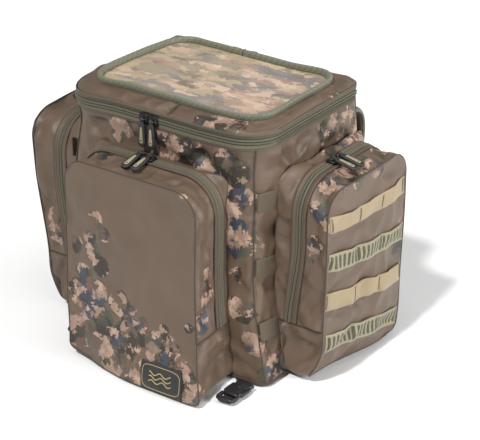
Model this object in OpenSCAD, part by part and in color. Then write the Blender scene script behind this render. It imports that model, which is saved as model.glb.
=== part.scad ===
// Tackle backpack: box main compartment with a zipped lid and a rimmed tray on top, one front pocket and
// two side pockets that zip open and fold down, padded straps behind, and two buckled straps under the base.
// Millimetres. X is the wearer's left to right seen from the front, the front pocket faces -Y, +Z is up.
// The origin is on the ground, under the middle of the base.

/* [Main compartment] */
// Width of the main compartment
body_w = 298; // [260:1:360]
// Depth of the main compartment, front to back
body_d = 228; // [190:1:280]
// Height of the lid's zip above the ground
zip_z = 328; // [300:1:400]
// Thickness of the padded walls
wall = 4; // [3:0.5:6]
// Radius of the upright corners below the collar
corner_r = 14; // [8:1:20]
// Radius of the corners of the collar and the lid
lid_corner_r = 45; // [35:1:55]
// Height of the rounded collar under the zip
collar_h = 40; // [25:1:60]
// Thickness of the base panel
base_t = 5; // [4.5:0.5:8]
// Thickness of the stiffening board on the base
board_t = 3; // [2:0.5:5]

/* [Lid] */
// Height of the lid above its zip, without the rim
lid_h = 15; // [12:1:24]
// Outer width of the tray rim
rim_w = 254; // [200:1:270]
// Outer depth of the tray rim
rim_d = 166; // [130:1:180]
// How far the rim's middle sits behind the lid's middle
rim_back = 7; // [0:1:12]
// Height of the rim above the lid
rim_h = 8; // [5:0.5:12]
// Thickness of the rim
rim_t = 5; // [4:0.5:8]
// Radius of the rim's corners
rim_r = 34; // [25:1:40]
// Thickness of the tray's coated sheet
sheet_t = 1.5; // [1:0.5:3]

/* [Front pocket] */
// Width of the front pocket
front_w = 212; // [170:1:230]
// Depth of the front pocket
front_d = 73; // [60:1:90]
// Height of the front pocket's top above the ground
front_top = 280; // [230:1:285]
// Distance of the front pocket's zip from the main compartment
front_zip_off = 19; // [18:1:24]
// Height at which the front flap folds
front_split = 80; // [60:1:100]

/* [Side pockets] */
// Width of a side pocket, front to back
side_w = 180; // [150:1:180]
// Depth of a side pocket, out from the main compartment
side_d = 78; // [65:1:95]
// Height of a side pocket's underside above the ground
side_bottom = 10; // [4:1:20]
// Height of a side pocket's top above the ground
side_top = 276; // [230:1:285]
// How far the side pockets sit behind the middle
side_back = 18; // [10:1:20]
// Distance of a side pocket's zip from the main compartment
side_zip_off = 33; // [30:1:40]
// Height at which a side flap folds
side_split = 79; // [79:1:90]

/* [Pocket walls] */
// Thickness of the pocket fabric with its lining
pocket_wall = 3; // [2:0.5:5]
// Radius of the pockets' top corners at the zip
pocket_r = 34; // [25:1:40]
// Radius of the pockets' top corners at the main compartment
pocket_root_r = 12; // [8:1:16]
// Radius of the pockets' bottom corners
pocket_foot_r = 8; // [5:1:12]

/* [Zips] */
// Visible width of the tape on each side of the chain's middle
tape_w = 10; // [8:1:10]
// Thickness of the tape
tape_t = 1.2; // [0.8:0.1:1.4]
// Width of half of the chain
chain_w = 3; // [2:0.5:4]
// Height of the chain above the fabric
chain_h = 2; // [1.8:0.1:2]
// Width across a slider
slider_w = 11; // [10:0.5:13]
// Length of a slider
slider_l = 13; // [11:0.5:16]
// Height of a slider's plate above the fabric
slider_lift = 3.6; // [3.6:0.1:4]
// Thickness of a slider's plate
slider_t = 1.4; // [1:0.1:1.6]
// Height of the pull's pivot above the fabric
bail_z = 8.5; // [8.5:0.1:9.5]
// Radius of the slider's bar that the pull hangs on
bail_r = 1.1; // [0.8:0.1:1.1]
// Length of a pull
pull_l = 36; // [28:1:38]
// Width of a pull at its wide end
pull_w = 10; // [8:0.5:11]
// Thickness of a pull
pull_t = 3.4; // [2.4:0.2:3.4]
// How far the lid's closed sliders are from the middle, negative to the left
lid_slider_x = -22; // [-40:1:40]
// How far the front pocket's closed sliders are from the middle
front_slider_x = -8; // [-40:1:40]
// How far the right pocket's closed sliders are behind the middle
right_slider_y = 8; // [-20:1:50]
// How far the left pocket's closed sliders are behind the middle
left_slider_y = -12; // [-20:1:50]

/* [Webbing] */
// Width of the load webbing
web_w = 25; // [20:1:25]
// Thickness of the webbing
web_t = 1.6; // [1.2:0.1:2]
// How far a row of webbing bows off the pocket
web_bow = 3; // [2.6:0.1:5]
// Height of the lowest row's lower edge
row_first = 52; // [45:1:53]
// Distance between rows
row_pitch = 56; // [52:1:58]

/* [Straps] */
// Width of a shoulder strap
strap_w = 64; // [50:1:70]
// Thickness of a shoulder strap
strap_t = 12; // [8:1:16]
// Distance of a shoulder strap's middle from the centre
strap_x = 98; // [80:1:100]
// Thickness of the back padding
pad_t = 12; // [8:1:20]
// How far a shoulder strap hangs below its upper seam
strap_drop = 200; // [160:1:210]
// How far the middle of a base strap is from the side of the front pocket
base_strap_off = 21; // [20:1:22]
// Span of the grab handle
handle_w = 124; // [100:1:128]
// How far the handle hangs below its seam
handle_drop = 42; // [36:1:50]
// Radius of the handle's grip
grip_r = 8; // [6:0.5:10]

/* [Hidden] */
$fn = 48;

brown = "#6e5f50";
dark_brown = "#57493d";
olive = "#56583f";
tan = "#a8946c";
black = "#202022";
camo = "#8a735c";

gap = 0.3;                      // clearance between parts that move apart
zip_gap = 0.15;                 // half of the gap between two halves of a chain
front_y = -body_d / 2;
back_y = body_d / 2;
side_x = body_w / 2;
collar_z = zip_z - collar_h;
lid_top = zip_z + lid_h;
zip_end_y = back_y - lid_corner_r + 30;   // where the lid's zip stops on the rear corners
side_front = side_back - side_w / 2;      // front side of the side pockets
badge_w = 58;
badge_h = 42;
badge_t = 1.2;
badge_x = front_w / 2 - 16 - badge_w / 2;
badge_z = 10;
slider_pitch = slider_l + 1.5;            // distance between two closed sliders
base_strap_x = front_w / 2 + base_strap_off;

// ---------- outlines ----------

// Rectangle with four round corners, centred
module round_rect(w, d, r) {
    square([w - 2 * r, d], center = true);
    square([w, d - 2 * r], center = true);
    for (sx = [-1, 1], sy = [-1, 1]) translate([sx * (w / 2 - r), sy * (d / 2 - r)]) circle(r);
}

// Elevation of a pocket from z0 up to z1: round top corners of radius r, small round bottom corners
module pocket_outline(w, z0, z1, r) {
    f = pocket_foot_r;
    translate([-w / 2, z0 + f]) square([w, z1 - r - z0 - f]);
    translate([-w / 2 + r, z1 - r - 1]) square([w - 2 * r, r + 1]);
    translate([-w / 2 + f, z0]) square([w - 2 * f, f + 1]);
    for (sx = [-1, 1]) {
        translate([sx * (w / 2 - r), z1 - r]) circle(r);
        translate([sx * (w / 2 - f), z0 + f]) circle(f);
    }
}

// Stands an XZ outline up and gives it depth from y = -from to y = -to
module stand_up(from, to) {
    translate([0, -from, 0]) rotate([90, 0, 0]) linear_extrude(to - from) children();
}

// Everything between two heights, used to cut a pocket at its fold
module height_band(w, z0, z1) {
    translate([-w, z0]) square([2 * w, z1 - z0]);
}

// ---------- main compartment ----------

module main_compartment() {
    color(brown) difference() {
        union() {
            translate([0, 0, base_t]) linear_extrude(collar_z - base_t) round_rect(body_w, body_d, corner_r);
            linear_extrude(zip_z - gap) round_rect(body_w, body_d, lid_corner_r);
        }
        translate([0, 0, -1]) linear_extrude(base_t + 1) square([2 * body_w, 2 * body_d], center = true);
        translate([0, 0, base_t - 1]) linear_extrude(collar_z - wall - base_t + 1)
            round_rect(body_w - 2 * wall, body_d - 2 * wall, corner_r - wall);
        translate([0, 0, collar_z - wall - 1]) linear_extrude(zip_z)
            round_rect(body_w - 2 * wall, body_d - 2 * wall, lid_corner_r - wall);
    }
}

// Grooves in the base panel take the base straps
module base_panel() {
    color(dark_brown) difference() {
        linear_extrude(base_t) round_rect(body_w, body_d, corner_r);
        for (s = [-1, 1]) translate([s * base_strap_x - web_w / 2 - 1, -body_d, -1])
            cube([web_w + 2, body_d * 1.5 - 18, web_t + 1.8]);
    }
}

module base_board() {
    color(black) translate([0, 0, base_t])
        linear_extrude(board_t) round_rect(body_w - 2 * wall - 4, body_d - 2 * wall - 4, corner_r - wall);
}

pad_w = body_w - 56;
pad_top = collar_z + 14;
pad_bottom = 18;
pad_face = back_y + pad_t / 2;
column_in = 10;
column_out = strap_x - web_w / 2 - 5;
column_from = pad_bottom + 18;
column_to = pad_top - 54;

// Back padding: a plain sheet with two raised columns between the shoulder straps
module back_pad() {
    color(dark_brown) translate([0, back_y, 0]) rotate([-90, 0, 0]) {
        translate([0, -(pad_top + pad_bottom) / 2, 0]) linear_extrude(pad_t / 2)
            round_rect(pad_w, pad_top - pad_bottom, 20);
        for (s = [-1, 1])
            translate([s * (column_in + column_out) / 2, -(column_from + column_to) / 2, pad_t / 2])
            linear_extrude(pad_t / 2) round_rect(column_out - column_in, column_to - column_from, 16);
    }
}

// Folded fabric under the lid's fold, sewn to the compartment
strip_t = 1.5;
module lid_hinge_strip() {
    color(brown) translate([-body_w / 2 + lid_corner_r, back_y, pad_top + 1])
        cube([body_w - 2 * lid_corner_r, strip_t, zip_z - pad_top - 2]);
}

// ---------- lid ----------

// A band around the lid's outline that stands proud of it, open across the back
module lid_band(z0, z1, proud) {
    translate([0, 0, z0]) intersection() {
        linear_extrude(z1 - z0) difference() {
            round_rect(body_w + 2 * proud, body_d + 2 * proud, lid_corner_r + proud);
            round_rect(body_w, body_d, lid_corner_r);
        }
        translate([-body_w, zip_end_y - 2 * body_d, -1]) cube([2 * body_w, 2 * body_d, z1 - z0 + 2]);
    }
}

module lid_zip_lower() {
    color(olive) {
        lid_band(zip_z - tape_w, zip_z - chain_w, tape_t);
        lid_band(zip_z - chain_w, zip_z - zip_gap, chain_h);
    }
}

module lid_zip_upper() {
    color(olive) {
        lid_band(zip_z + zip_gap, zip_z + chain_w, chain_h);
        lid_band(zip_z + chain_w, zip_z + tape_w, tape_t);
    }
}

module lid_shell() {
    color(brown) translate([0, 0, zip_z + gap]) difference() {
        linear_extrude(lid_h - gap) round_rect(body_w, body_d, lid_corner_r);
        translate([0, 0, -1]) linear_extrude(lid_h - gap - wall + 1)
            round_rect(body_w - 2 * wall, body_d - 2 * wall, lid_corner_r - wall);
    }
}

module tray_rim() {
    color(olive) translate([0, rim_back, lid_top]) linear_extrude(rim_h) difference() {
        round_rect(rim_w, rim_d, rim_r);
        round_rect(rim_w - 2 * rim_t, rim_d - 2 * rim_t, rim_r - rim_t);
    }
}

module tray_sheet() {
    color(camo) translate([0, rim_back, lid_top]) linear_extrude(sheet_t)
        round_rect(rim_w - 2 * rim_t - 0.4, rim_d - 2 * rim_t - 0.4, rim_r - rim_t);
}

// ---------- pockets, drawn with their back at y = 0 and their front at y = -d ----------

module pocket_hollow(w, d, z0, z1) {
    stand_up(-1, d - pocket_wall)
        pocket_outline(w - 2 * pocket_wall, z0 + pocket_wall, z1 - pocket_wall, pocket_r - pocket_wall);
}

// The fixed part: the gusset behind the zip and the tub below the fold
module pocket_gusset(w, d, z0, z1, off, split) {
    step = off - tape_w - 1;
    difference() {
        union() {
            stand_up(0, step) pocket_outline(w, z0, z1, pocket_root_r);
            stand_up(step - 0.5, off - gap) pocket_outline(w, z0, z1, pocket_r);
            stand_up(step, d) intersection() {
                pocket_outline(w, z0, z1, pocket_r);
                height_band(w, z0 - 1, split);
            }
        }
        pocket_hollow(w, d, z0, z1);
    }
}

// The part that folds down: front panel and the gusset in front of the zip
module pocket_flap(w, d, z0, z1, off, split) {
    difference() {
        stand_up(off + gap, d) intersection() {
            pocket_outline(w, z0, z1, pocket_r);
            height_band(w, split + gap, z1 + 1);
        }
        pocket_hollow(w, d, z0, z1);
    }
}

module pocket_band(w, z0, z1, split, from, to, proud) {
    stand_up(from, to) intersection() {
        difference() {
            pocket_outline(w + 2 * proud, z0, z1 + proud, pocket_r + proud);
            pocket_outline(w, z0, z1, pocket_r);
        }
        height_band(w, split + 2, z1 + 20);
    }
}

module pocket_zip_inner(w, z0, z1, off, split) {
    color(olive) {
        pocket_band(w, z0, z1, split, off - tape_w, off - chain_w, tape_t);
        pocket_band(w, z0, z1, split, off - chain_w, off - zip_gap, chain_h);
    }
}

module pocket_zip_outer(w, z0, z1, off, split) {
    color(olive) {
        pocket_band(w, z0, z1, split, off + zip_gap, off + chain_w, chain_h);
        pocket_band(w, z0, z1, split, off + chain_w, off + tape_w, tape_t);
    }
}

module at_front() { translate([0, front_y, 0]) children(); }
module at_right() { translate([side_x, side_back, 0]) rotate([0, 0, 90]) children(); }
module at_left() { translate([-side_x, side_back, 0]) rotate([0, 0, -90]) children(); }

module side_gusset() { color(brown) pocket_gusset(side_w, side_d, side_bottom, side_top, side_zip_off, side_split); }
module side_flap() { color(brown) pocket_flap(side_w, side_d, side_bottom, side_top, side_zip_off, side_split); }

module badge() {
    color(black) at_front() translate([badge_x - badge_w / 2, -front_d - badge_t, badge_z])
        cube([badge_w, badge_t, badge_h]);
}

// ---------- webbing rows and corner loops ----------

// One row across a side pocket: sewn flat at both ends and at two inner seams, bowed off the panel between
module webbing_row(level) {
    span = side_w - 16;
    seams = 3;
    cell = span / seams;
    sewn = 4;
    translate([0, -side_d, row_first + level * row_pitch]) for (i = [0:seams - 1])
        translate([-span / 2 + i * cell, 0, 0]) linear_extrude(web_w) polygon([
            [0, 0], [sewn, 0], [sewn + 6, web_t - web_bow], [cell - sewn - 6, web_t - web_bow], [cell - sewn, 0],
            [cell, 0], [cell, -web_t], [cell - sewn, -web_t], [cell - sewn - 6, -web_bow],
            [sewn + 6, -web_bow], [sewn, -web_t], [0, -web_t]
        ]);
}

module plain_webbing() { color(tan) for (level = [1, 3]) webbing_row(level); }
module ribbed_webbing() { color(olive) webbing_row(2); }
module foot_webbing() { color(olive) webbing_row(0); }

// Three short loops beside each front corner of the main compartment, between it and the side pocket
module corner_loops(s) {
    loop_len = side_front - front_y - corner_r / 2;
    color(tan) for (z = [72, 164, 250])
        translate([s * side_x - (s < 0 ? web_t : 0), front_y + corner_r / 2 + 1, z])
            cube([web_t, loop_len - 2, web_w]);
}

// ---------- zip sliders and pulls; the zip runs along X, the bag's own half is towards +Y, +Z is out ----------

module slider() {
    color(black) {
        translate([-slider_l / 2, -slider_w / 2, slider_lift]) cube([slider_l, slider_w, slider_t]);
        translate([-slider_l / 2, chain_w + 0.5, tape_t + gap])
            cube([slider_l, slider_w / 2 - chain_w - 0.5, slider_lift - tape_t - gap]);
        for (s = [-1, 1]) translate([s * 4 - 0.8, -bail_r, slider_lift + slider_t])
            cube([1.6, 2 * bail_r, bail_z - slider_lift - slider_t]);
        translate([-4.8, 0, bail_z]) rotate([0, 90, 0]) cylinder(r = bail_r, h = 9.6);
    }
}

// The pull lies along -Y from the bar: eye, narrow neck and a ribbed tab that widens to a round end
module pull() {
    eye_r = bail_r + 1.8;
    tab_from = eye_r + 3;
    end_r = pull_w / 2;
    rib_count = 4;
    color(black) difference() {
        union() {
            translate([-2.2, 0, 0]) rotate([0, 90, 0]) cylinder(r = eye_r, h = 4.4);
            translate([-2.2, -tab_from - 1, -pull_t / 2]) cube([4.4, tab_from + 1, pull_t]);
            translate([0, 0, -pull_t / 2]) linear_extrude(pull_t) union() {
                polygon([[-2.8, -tab_from], [2.8, -tab_from], [end_r, -pull_l + end_r], [-end_r, -pull_l + end_r]]);
                translate([0, -pull_l + end_r]) circle(end_r);
            }
            for (i = [0:rib_count - 1]) translate([-2.2, -tab_from - 3.5 - i * 3.6, pull_t / 2])
                cube([4.4, 1.6, 0.6]);
        }
        translate([-3, 0, 0]) rotate([0, 90, 0]) cylinder(r = bail_r + gap, h = 6);
    }
}

lying = 10;    // angle by which a pull on top of a pocket tips down to lie on it

module lid_slider_at(i) {
    translate([lid_slider_x + (i - 0.5) * slider_pitch, front_y, zip_z]) rotate([90, 0, 0]) children();
}
module front_slider_at(i) {
    at_front() translate([front_slider_x + (i - 0.5) * slider_pitch, -front_zip_off, front_top]) children();
}
module right_slider_at(i) {
    at_right() translate([right_slider_y - side_back + (i - 0.5) * slider_pitch, -side_zip_off, side_top])
        children();
}
module left_slider_at(i) {
    at_left() translate([side_back - left_slider_y + (i - 0.5) * slider_pitch, -side_zip_off, side_top])
        children();
}
module hanging_pull() { translate([0, 0, bail_z]) pull(); }
module lying_pull() { translate([0, 0, bail_z]) rotate([lying, 0, 0]) pull(); }

// ---------- shoulder straps ----------

strap_root = [pad_face, pad_top - 12];
strap_end = strap_root + [14, -strap_drop];
strap_out = [80, 0];       // first handle of the strap's curve, from its upper seam
strap_hang = [0, 90];      // second handle, from its lower end
function strap_at(t) = let (a = 1 - t)
    strap_root + 3 * a * a * t * strap_out + 3 * a * t * t * (strap_end + strap_hang - strap_root)
    + t * t * t * (strap_end - strap_root);
function strap_dir(t) = let (a = 1 - t, v = a * a * strap_out
    + 2 * a * t * (strap_end + strap_hang - strap_root - strap_out) - t * t * strap_hang) v / norm(v);
function beside(t, off) = strap_at(t) + off * [-strap_dir(t)[1], strap_dir(t)[0]];
strap_steps = 16;

// Profiles drawn in the YZ plane are given their width along X, centred on x
module across(x, w) { translate([x - w / 2, 0, 0]) rotate([90, 0, 90]) linear_extrude(w) children(); }

module shoulder_strap(s) {
    color(brown) across(s * strap_x, strap_w) polygon(concat(
        [for (i = [0:strap_steps]) beside(i / strap_steps, strap_t / 2)],
        [for (i = [strap_steps:-1:0]) beside(i / strap_steps, -strap_t / 2)]));
}

lock_w = web_w + 9;
lock_l = 30;
lock_t = 4;
lock_slot = 6;
lock_y = strap_end[0];
lock_top = strap_end[1];

// Ladder lock: a plate with two slots, hanging from the strap's lower end
module ladder_lock(s) {
    color(black) translate([s * strap_x - lock_w / 2, lock_y - lock_t / 2, lock_top - lock_l]) difference() {
        cube([lock_w, lock_t, lock_l]);
        for (z = [5, 17]) translate([(lock_w - web_w - 1) / 2, -1, z]) cube([web_w + 1, lock_t + 2, lock_slot]);
    }
}

foot_low = pad_bottom + 2;
foot_high = foot_low + 12;

// Webbing from the inner side of the ladder lock's foot down to the bottom of the back padding
module lower_webbing(s) {
    face = lock_y - lock_t / 2;
    low = lock_top - lock_l;
    color(tan) across(s * strap_x, web_w) polygon([
        [face, low + 4], [face, low], [pad_face + web_t, foot_high], [pad_face + web_t, foot_low],
        [pad_face, foot_low], [pad_face, foot_high], [face - web_t, low + 0.5], [face - web_t, low + 4]
    ]);
}

// ---------- grab handle ----------

handle_z = pad_top + 14;
handle_y = back_y + strip_t + gap;
leg_w = web_w * 0.8;
leg_t = 2.4;

// Two webbing legs from the seam above the back padding, with a padded grip across their ends
module grab_handle() {
    grip_y = pad_face + grip_r + 0.6;
    grip_z = handle_z - handle_drop + grip_r;
    color(black) {
        for (s = [-1, 1]) across(s * (handle_w - leg_w) / 2, leg_w) polygon([
            [handle_y, handle_z], [handle_y + leg_t, handle_z],
            [grip_y + leg_t / 2, grip_z], [grip_y - leg_t / 2, grip_z]
        ]);
        translate([-handle_w / 2, grip_y, grip_z]) rotate([0, 90, 0]) cylinder(r = grip_r, h = handle_w);
    }
}

// ---------- base straps ----------

socket_l = 32;
socket_w = web_w + 8;
socket_t = 9;
buckle_z = web_t + 1.2;
socket_y = front_y - 10;
socket_wall = 1.8;
tongue_depth = 20;

// Strap under the base, in its groove and on along the ground, to the loop through the buckle's tongue
module base_strap(s) {
    run_from = back_y - 20;
    color(black) {
        translate([s * base_strap_x - web_w / 2, socket_y - socket_l - 4, 0.1])
            cube([web_w, run_from - socket_y + socket_l + 4, web_t]);
        translate([s * base_strap_x - web_w / 2, socket_y, buckle_z + socket_t / 2 - web_t / 2])
            cube([web_w, front_y - socket_y, web_t]);
    }
}

module buckle_socket(s) {
    color(black) translate([s * base_strap_x - socket_w / 2, socket_y - socket_l, buckle_z]) difference() {
        cube([socket_w, socket_l, socket_t]);
        translate([socket_wall, -1, socket_wall])
            cube([socket_w - 2 * socket_wall, tongue_depth + 3, socket_t - 2 * socket_wall]);
    }
}

// Tongue: two outer prongs and a middle guide on a bar with the ladder that holds the strap
module buckle_tongue(s) {
    inner_w = socket_w - 2 * socket_wall - 1;
    inner_t = socket_t - 2 * socket_wall - 1;
    ladder_l = 18;
    ladder_slot = 4;
    color(black) translate([s * base_strap_x, socket_y - socket_l - gap, buckle_z + socket_t / 2]) {
        for (x = [-inner_w / 2, -2.5, inner_w / 2 - 5])
            translate([x, -1, -inner_t / 2]) cube([5, tongue_depth, inner_t]);
        difference() {
            translate([-socket_w / 2, -ladder_l, -socket_t / 2]) cube([socket_w, ladder_l, socket_t]);
            for (y = [-6.5, -14]) translate([-web_w / 2 - 0.5, y - ladder_slot / 2, -socket_t])
                cube([web_w + 1, ladder_slot, 2 * socket_t]);
        }
    }
}

// ---------- nodes ----------

main_compartment();
base_panel();
base_board();
back_pad();
lid_hinge_strip();
lid_zip_lower();
lid_shell();
tray_rim();
tray_sheet();
lid_zip_upper();
color(brown) at_front() pocket_gusset(front_w, front_d, 0, front_top, front_zip_off, front_split);  // front_pocket_gusset
at_front() pocket_zip_inner(front_w, 0, front_top, front_zip_off, front_split);  // front_zip_inner
color(camo) at_front() pocket_flap(front_w, front_d, 0, front_top, front_zip_off, front_split);  // front_flap
at_front() pocket_zip_outer(front_w, 0, front_top, front_zip_off, front_split);  // front_zip_outer
badge();
at_right() side_gusset();  // right_pocket_gusset
at_right() pocket_zip_inner(side_w, side_bottom, side_top, side_zip_off, side_split);  // right_zip_inner
at_right() side_flap();  // right_flap
at_right() pocket_zip_outer(side_w, side_bottom, side_top, side_zip_off, side_split);  // right_zip_outer
at_right() plain_webbing();  // right_plain_webbing
at_right() ribbed_webbing();  // right_ribbed_webbing
at_right() foot_webbing();  // right_foot_webbing
at_left() side_gusset();  // left_pocket_gusset
at_left() pocket_zip_inner(side_w, side_bottom, side_top, side_zip_off, side_split);  // left_zip_inner
at_left() side_flap();  // left_flap
at_left() pocket_zip_outer(side_w, side_bottom, side_top, side_zip_off, side_split);  // left_zip_outer
at_left() plain_webbing();  // left_plain_webbing
at_left() ribbed_webbing();  // left_ribbed_webbing
at_left() foot_webbing();  // left_foot_webbing
corner_loops(1);  // right_corner_loops
corner_loops(-1);  // left_corner_loops
for (i = [0, 1]) {
    n = str(i + 1);
    lid_slider_at(i) rotate([0, 0, 180]) slider();
    lid_slider_at(i) hanging_pull();
    front_slider_at(i) slider();
    front_slider_at(i) lying_pull();
    right_slider_at(i) slider();
    right_slider_at(i) lying_pull();
    left_slider_at(i) slider();
    left_slider_at(i) lying_pull();
}
shoulder_strap(1);  // right_shoulder_strap
shoulder_strap(-1);  // left_shoulder_strap
ladder_lock(1);  // right_ladder_lock
ladder_lock(-1);  // left_ladder_lock
lower_webbing(1);  // right_lower_webbing
lower_webbing(-1);  // left_lower_webbing
grab_handle();
base_strap(1);  // right_base_strap
base_strap(-1);  // left_base_strap
buckle_socket(1);  // right_buckle_socket
buckle_socket(-1);  // left_buckle_socket
buckle_tongue(1);  // right_buckle_tongue
buckle_tongue(-1);  // left_buckle_tongue
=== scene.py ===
import math

import bmesh
import bpy
import numpy as np
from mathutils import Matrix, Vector


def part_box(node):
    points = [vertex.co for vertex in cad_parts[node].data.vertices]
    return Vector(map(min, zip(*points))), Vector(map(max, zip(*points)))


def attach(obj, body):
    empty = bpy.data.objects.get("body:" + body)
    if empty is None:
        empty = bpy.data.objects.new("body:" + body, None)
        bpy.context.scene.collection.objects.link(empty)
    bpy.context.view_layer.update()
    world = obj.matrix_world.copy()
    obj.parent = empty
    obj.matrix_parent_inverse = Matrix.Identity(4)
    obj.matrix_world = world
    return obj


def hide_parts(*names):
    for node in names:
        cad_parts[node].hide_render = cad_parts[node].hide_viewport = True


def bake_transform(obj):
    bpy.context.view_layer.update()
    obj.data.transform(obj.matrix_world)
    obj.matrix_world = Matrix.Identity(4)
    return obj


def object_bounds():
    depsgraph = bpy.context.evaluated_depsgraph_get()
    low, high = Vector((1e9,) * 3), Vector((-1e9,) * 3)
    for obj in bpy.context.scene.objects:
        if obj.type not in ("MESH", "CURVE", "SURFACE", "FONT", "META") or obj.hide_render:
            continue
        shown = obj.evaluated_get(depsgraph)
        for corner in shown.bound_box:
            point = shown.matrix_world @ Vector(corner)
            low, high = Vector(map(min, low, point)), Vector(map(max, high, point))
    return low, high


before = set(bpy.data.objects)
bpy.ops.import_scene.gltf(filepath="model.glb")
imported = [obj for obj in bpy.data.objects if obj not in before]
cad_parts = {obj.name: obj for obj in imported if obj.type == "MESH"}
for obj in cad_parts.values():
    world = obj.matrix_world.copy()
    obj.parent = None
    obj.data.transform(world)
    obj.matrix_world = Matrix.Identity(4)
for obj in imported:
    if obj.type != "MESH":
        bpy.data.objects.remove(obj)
cad_low, cad_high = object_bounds()

# ---------------------------------------------------------------- Camera
# A long lens at table height in front of the bag's right corner, looking down on the lid.
AZIMUTH, ELEVATION, DISTANCE, LENS = 35.7, 26.2, 2.710, 156.7
AIM_OFF_CENTRE = Vector((0.0465, 0.0033, -0.0127))

aim = (cad_low + cad_high) / 2 + AIM_OFF_CENTRE
around, above = math.radians(AZIMUTH), math.radians(ELEVATION)
backwards = Vector((math.sin(around) * math.cos(above), -math.cos(around) * math.cos(above), math.sin(above)))
camera = bpy.data.objects.new("camera", bpy.data.cameras.new("camera"))
camera.data.lens, camera.data.sensor_width = LENS, 36.0
camera.location = aim + backwards * DISTANCE
camera.rotation_mode = "QUATERNION"
camera.rotation_quaternion = (-backwards).to_track_quat("-Z", "Y")
camera.data.clip_end = 30.0
scene = bpy.context.scene
scene.collection.objects.link(camera)
scene.camera = camera

# ---------------------------------------------------------------- Studio
# A white sweep, a high sun with soft edges from the left, a wide fill from the right and a top light.
# Every finish of the bag is a small network of nodes, so sockets take part in Python arithmetic here.


class Term:
    """One socket of a material; each operator adds a Math node and gives its result as a new Term."""

    def __init__(self, paint, socket):
        self.paint, self.socket = paint, socket

    def __add__(self, other):
        return self.paint.math("ADD", self, other)

    def __radd__(self, other):
        return self.paint.math("ADD", other, self)

    def __sub__(self, other):
        return self.paint.math("SUBTRACT", self, other)

    def __rsub__(self, other):
        return self.paint.math("SUBTRACT", other, self)

    def __mul__(self, other):
        return self.paint.math("MULTIPLY", self, other)

    def __rmul__(self, other):
        return self.paint.math("MULTIPLY", other, self)


class Paint:
    """The nodes of one finish, around its Principled shader; fixed holds the shader's constant sockets."""

    def __init__(self, name, fixed):
        self.material = bpy.data.materials.new(name)
        self.material.use_nodes = True
        self.tree = self.material.node_tree
        self.shader = self.tree.nodes["Principled BSDF"]
        for socket, value in fixed.items():
            self.shader.inputs[socket].default_value = value

    def node(self, kind, settings, inputs, out=0):
        """Adds a node: settings are set first, inputs are values or Terms, and out picks its output."""
        made = self.tree.nodes.new(kind)
        for key, value in settings.items():
            if key == "stops":
                while len(made.color_ramp.elements) < len(value):
                    made.color_ramp.elements.new(0.5)
                for stop, (place, colour) in zip(made.color_ramp.elements, value):
                    stop.position, stop.color = place, (*colour, 1.0)
            else:
                setattr(made, key, value)
        for key, value in inputs.items():
            if isinstance(value, Term):
                self.tree.links.new(value.socket, made.inputs[key])
            else:
                made.inputs[key].default_value = value
        return Term(self, made.outputs[out])

    def math(self, operation, *values, clamp=False):
        return self.node("ShaderNodeMath", {"operation": operation, "use_clamp": clamp},
                         dict(enumerate(values)))

    def vector(self, operation, *values):
        return self.node("ShaderNodeVectorMath", {"operation": operation}, dict(enumerate(values)))

    def mix(self, factor, below, on_top):
        """Colour on_top laid over colour below where factor is 1."""
        inputs = {0: factor, 6: rgba(below), 7: rgba(on_top)}
        return self.node("ShaderNodeMix", {"data_type": "RGBA"}, inputs, out=2)

    def place(self):
        return self.node("ShaderNodeTexCoord", {}, {}, out="Object")

    def uv(self):
        """Distances along the piece's own surface, in metres, as two Terms."""
        map_node = self.node("ShaderNodeUVMap", {"uv_map": "along"}, {})
        along = self.node("ShaderNodeSeparateXYZ", {}, {0: map_node})
        return along, Term(self, along.socket.node.outputs[1])

    def value(self, name):
        """The piece's own painted attribute of that name, 0 to 1."""
        return self.node("ShaderNodeAttribute", {"attribute_name": name}, {}, out="Fac")

    def noise(self, where, scale, detail=2.0, rough=0.5, out=0):
        inputs = {"Vector": where, "Scale": scale, "Detail": detail, "Roughness": rough}
        return self.node("ShaderNodeTexNoise", {}, inputs, out)

    def over(self, value, level, sharp):
        """0 where value is under level and 1 over it, with an edge 1 / sharp wide."""
        return self.math("MULTIPLY", value - level, sharp, clamp=True)

    def feed(self, socket, value):
        if isinstance(value, Term):
            self.tree.links.new(value.socket, self.shader.inputs[socket])
        else:
            self.shader.inputs[socket].default_value = rgba(value)

    def bump(self, height, distance, strength=1.0):
        """Turns the surface by height, a Term from 0 to 1 that stands for distance metres."""
        self.feed("Normal", self.node("ShaderNodeBump", {}, {
            "Strength": strength, "Distance": distance, "Height": height}))


def rgba(value):
    """A colour with its alpha; Terms and single numbers pass as they are."""
    return (*value, 1.0) if isinstance(value, tuple) and len(value) == 3 else value


def floor_finish():
    paint = Paint("studio_floor", {"Roughness": 0.9, "Specular IOR Level": 0.1})
    shade = paint.noise(paint.place(), 1.5)
    paint.feed("Base Color", paint.mix(shade, (0.86, 0.86, 0.86), (0.88, 0.88, 0.88)))
    return paint.material


floor_mesh = bpy.data.meshes.new("floor")
floor_mesh.from_pydata([(-9, -9, 0), (9, -9, 0), (9, 9, 0), (-9, 9, 0)], [], [(0, 1, 2, 3)])
floor_mesh.materials.append(floor_finish())
floor = bpy.data.objects.new("floor", floor_mesh)
floor.location.z = -0.0006
scene.collection.objects.link(floor)


def soft_light(name, azimuth, elevation, distance, size, power):
    """A square area light that far from the bag, facing it; azimuth is counted as the camera's."""
    turn, lift = math.radians(azimuth), math.radians(elevation)
    away = Vector((math.sin(turn) * math.cos(lift), -math.cos(turn) * math.cos(lift), math.sin(lift)))
    light = bpy.data.objects.new(name, bpy.data.lights.new(name, "AREA"))
    light.data.size, light.data.energy = size, power
    light.location = aim + away * distance
    light.rotation_mode = "QUATERNION"
    light.rotation_quaternion = (-away).to_track_quat("-Z", "Y")
    scene.collection.objects.link(light)


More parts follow.
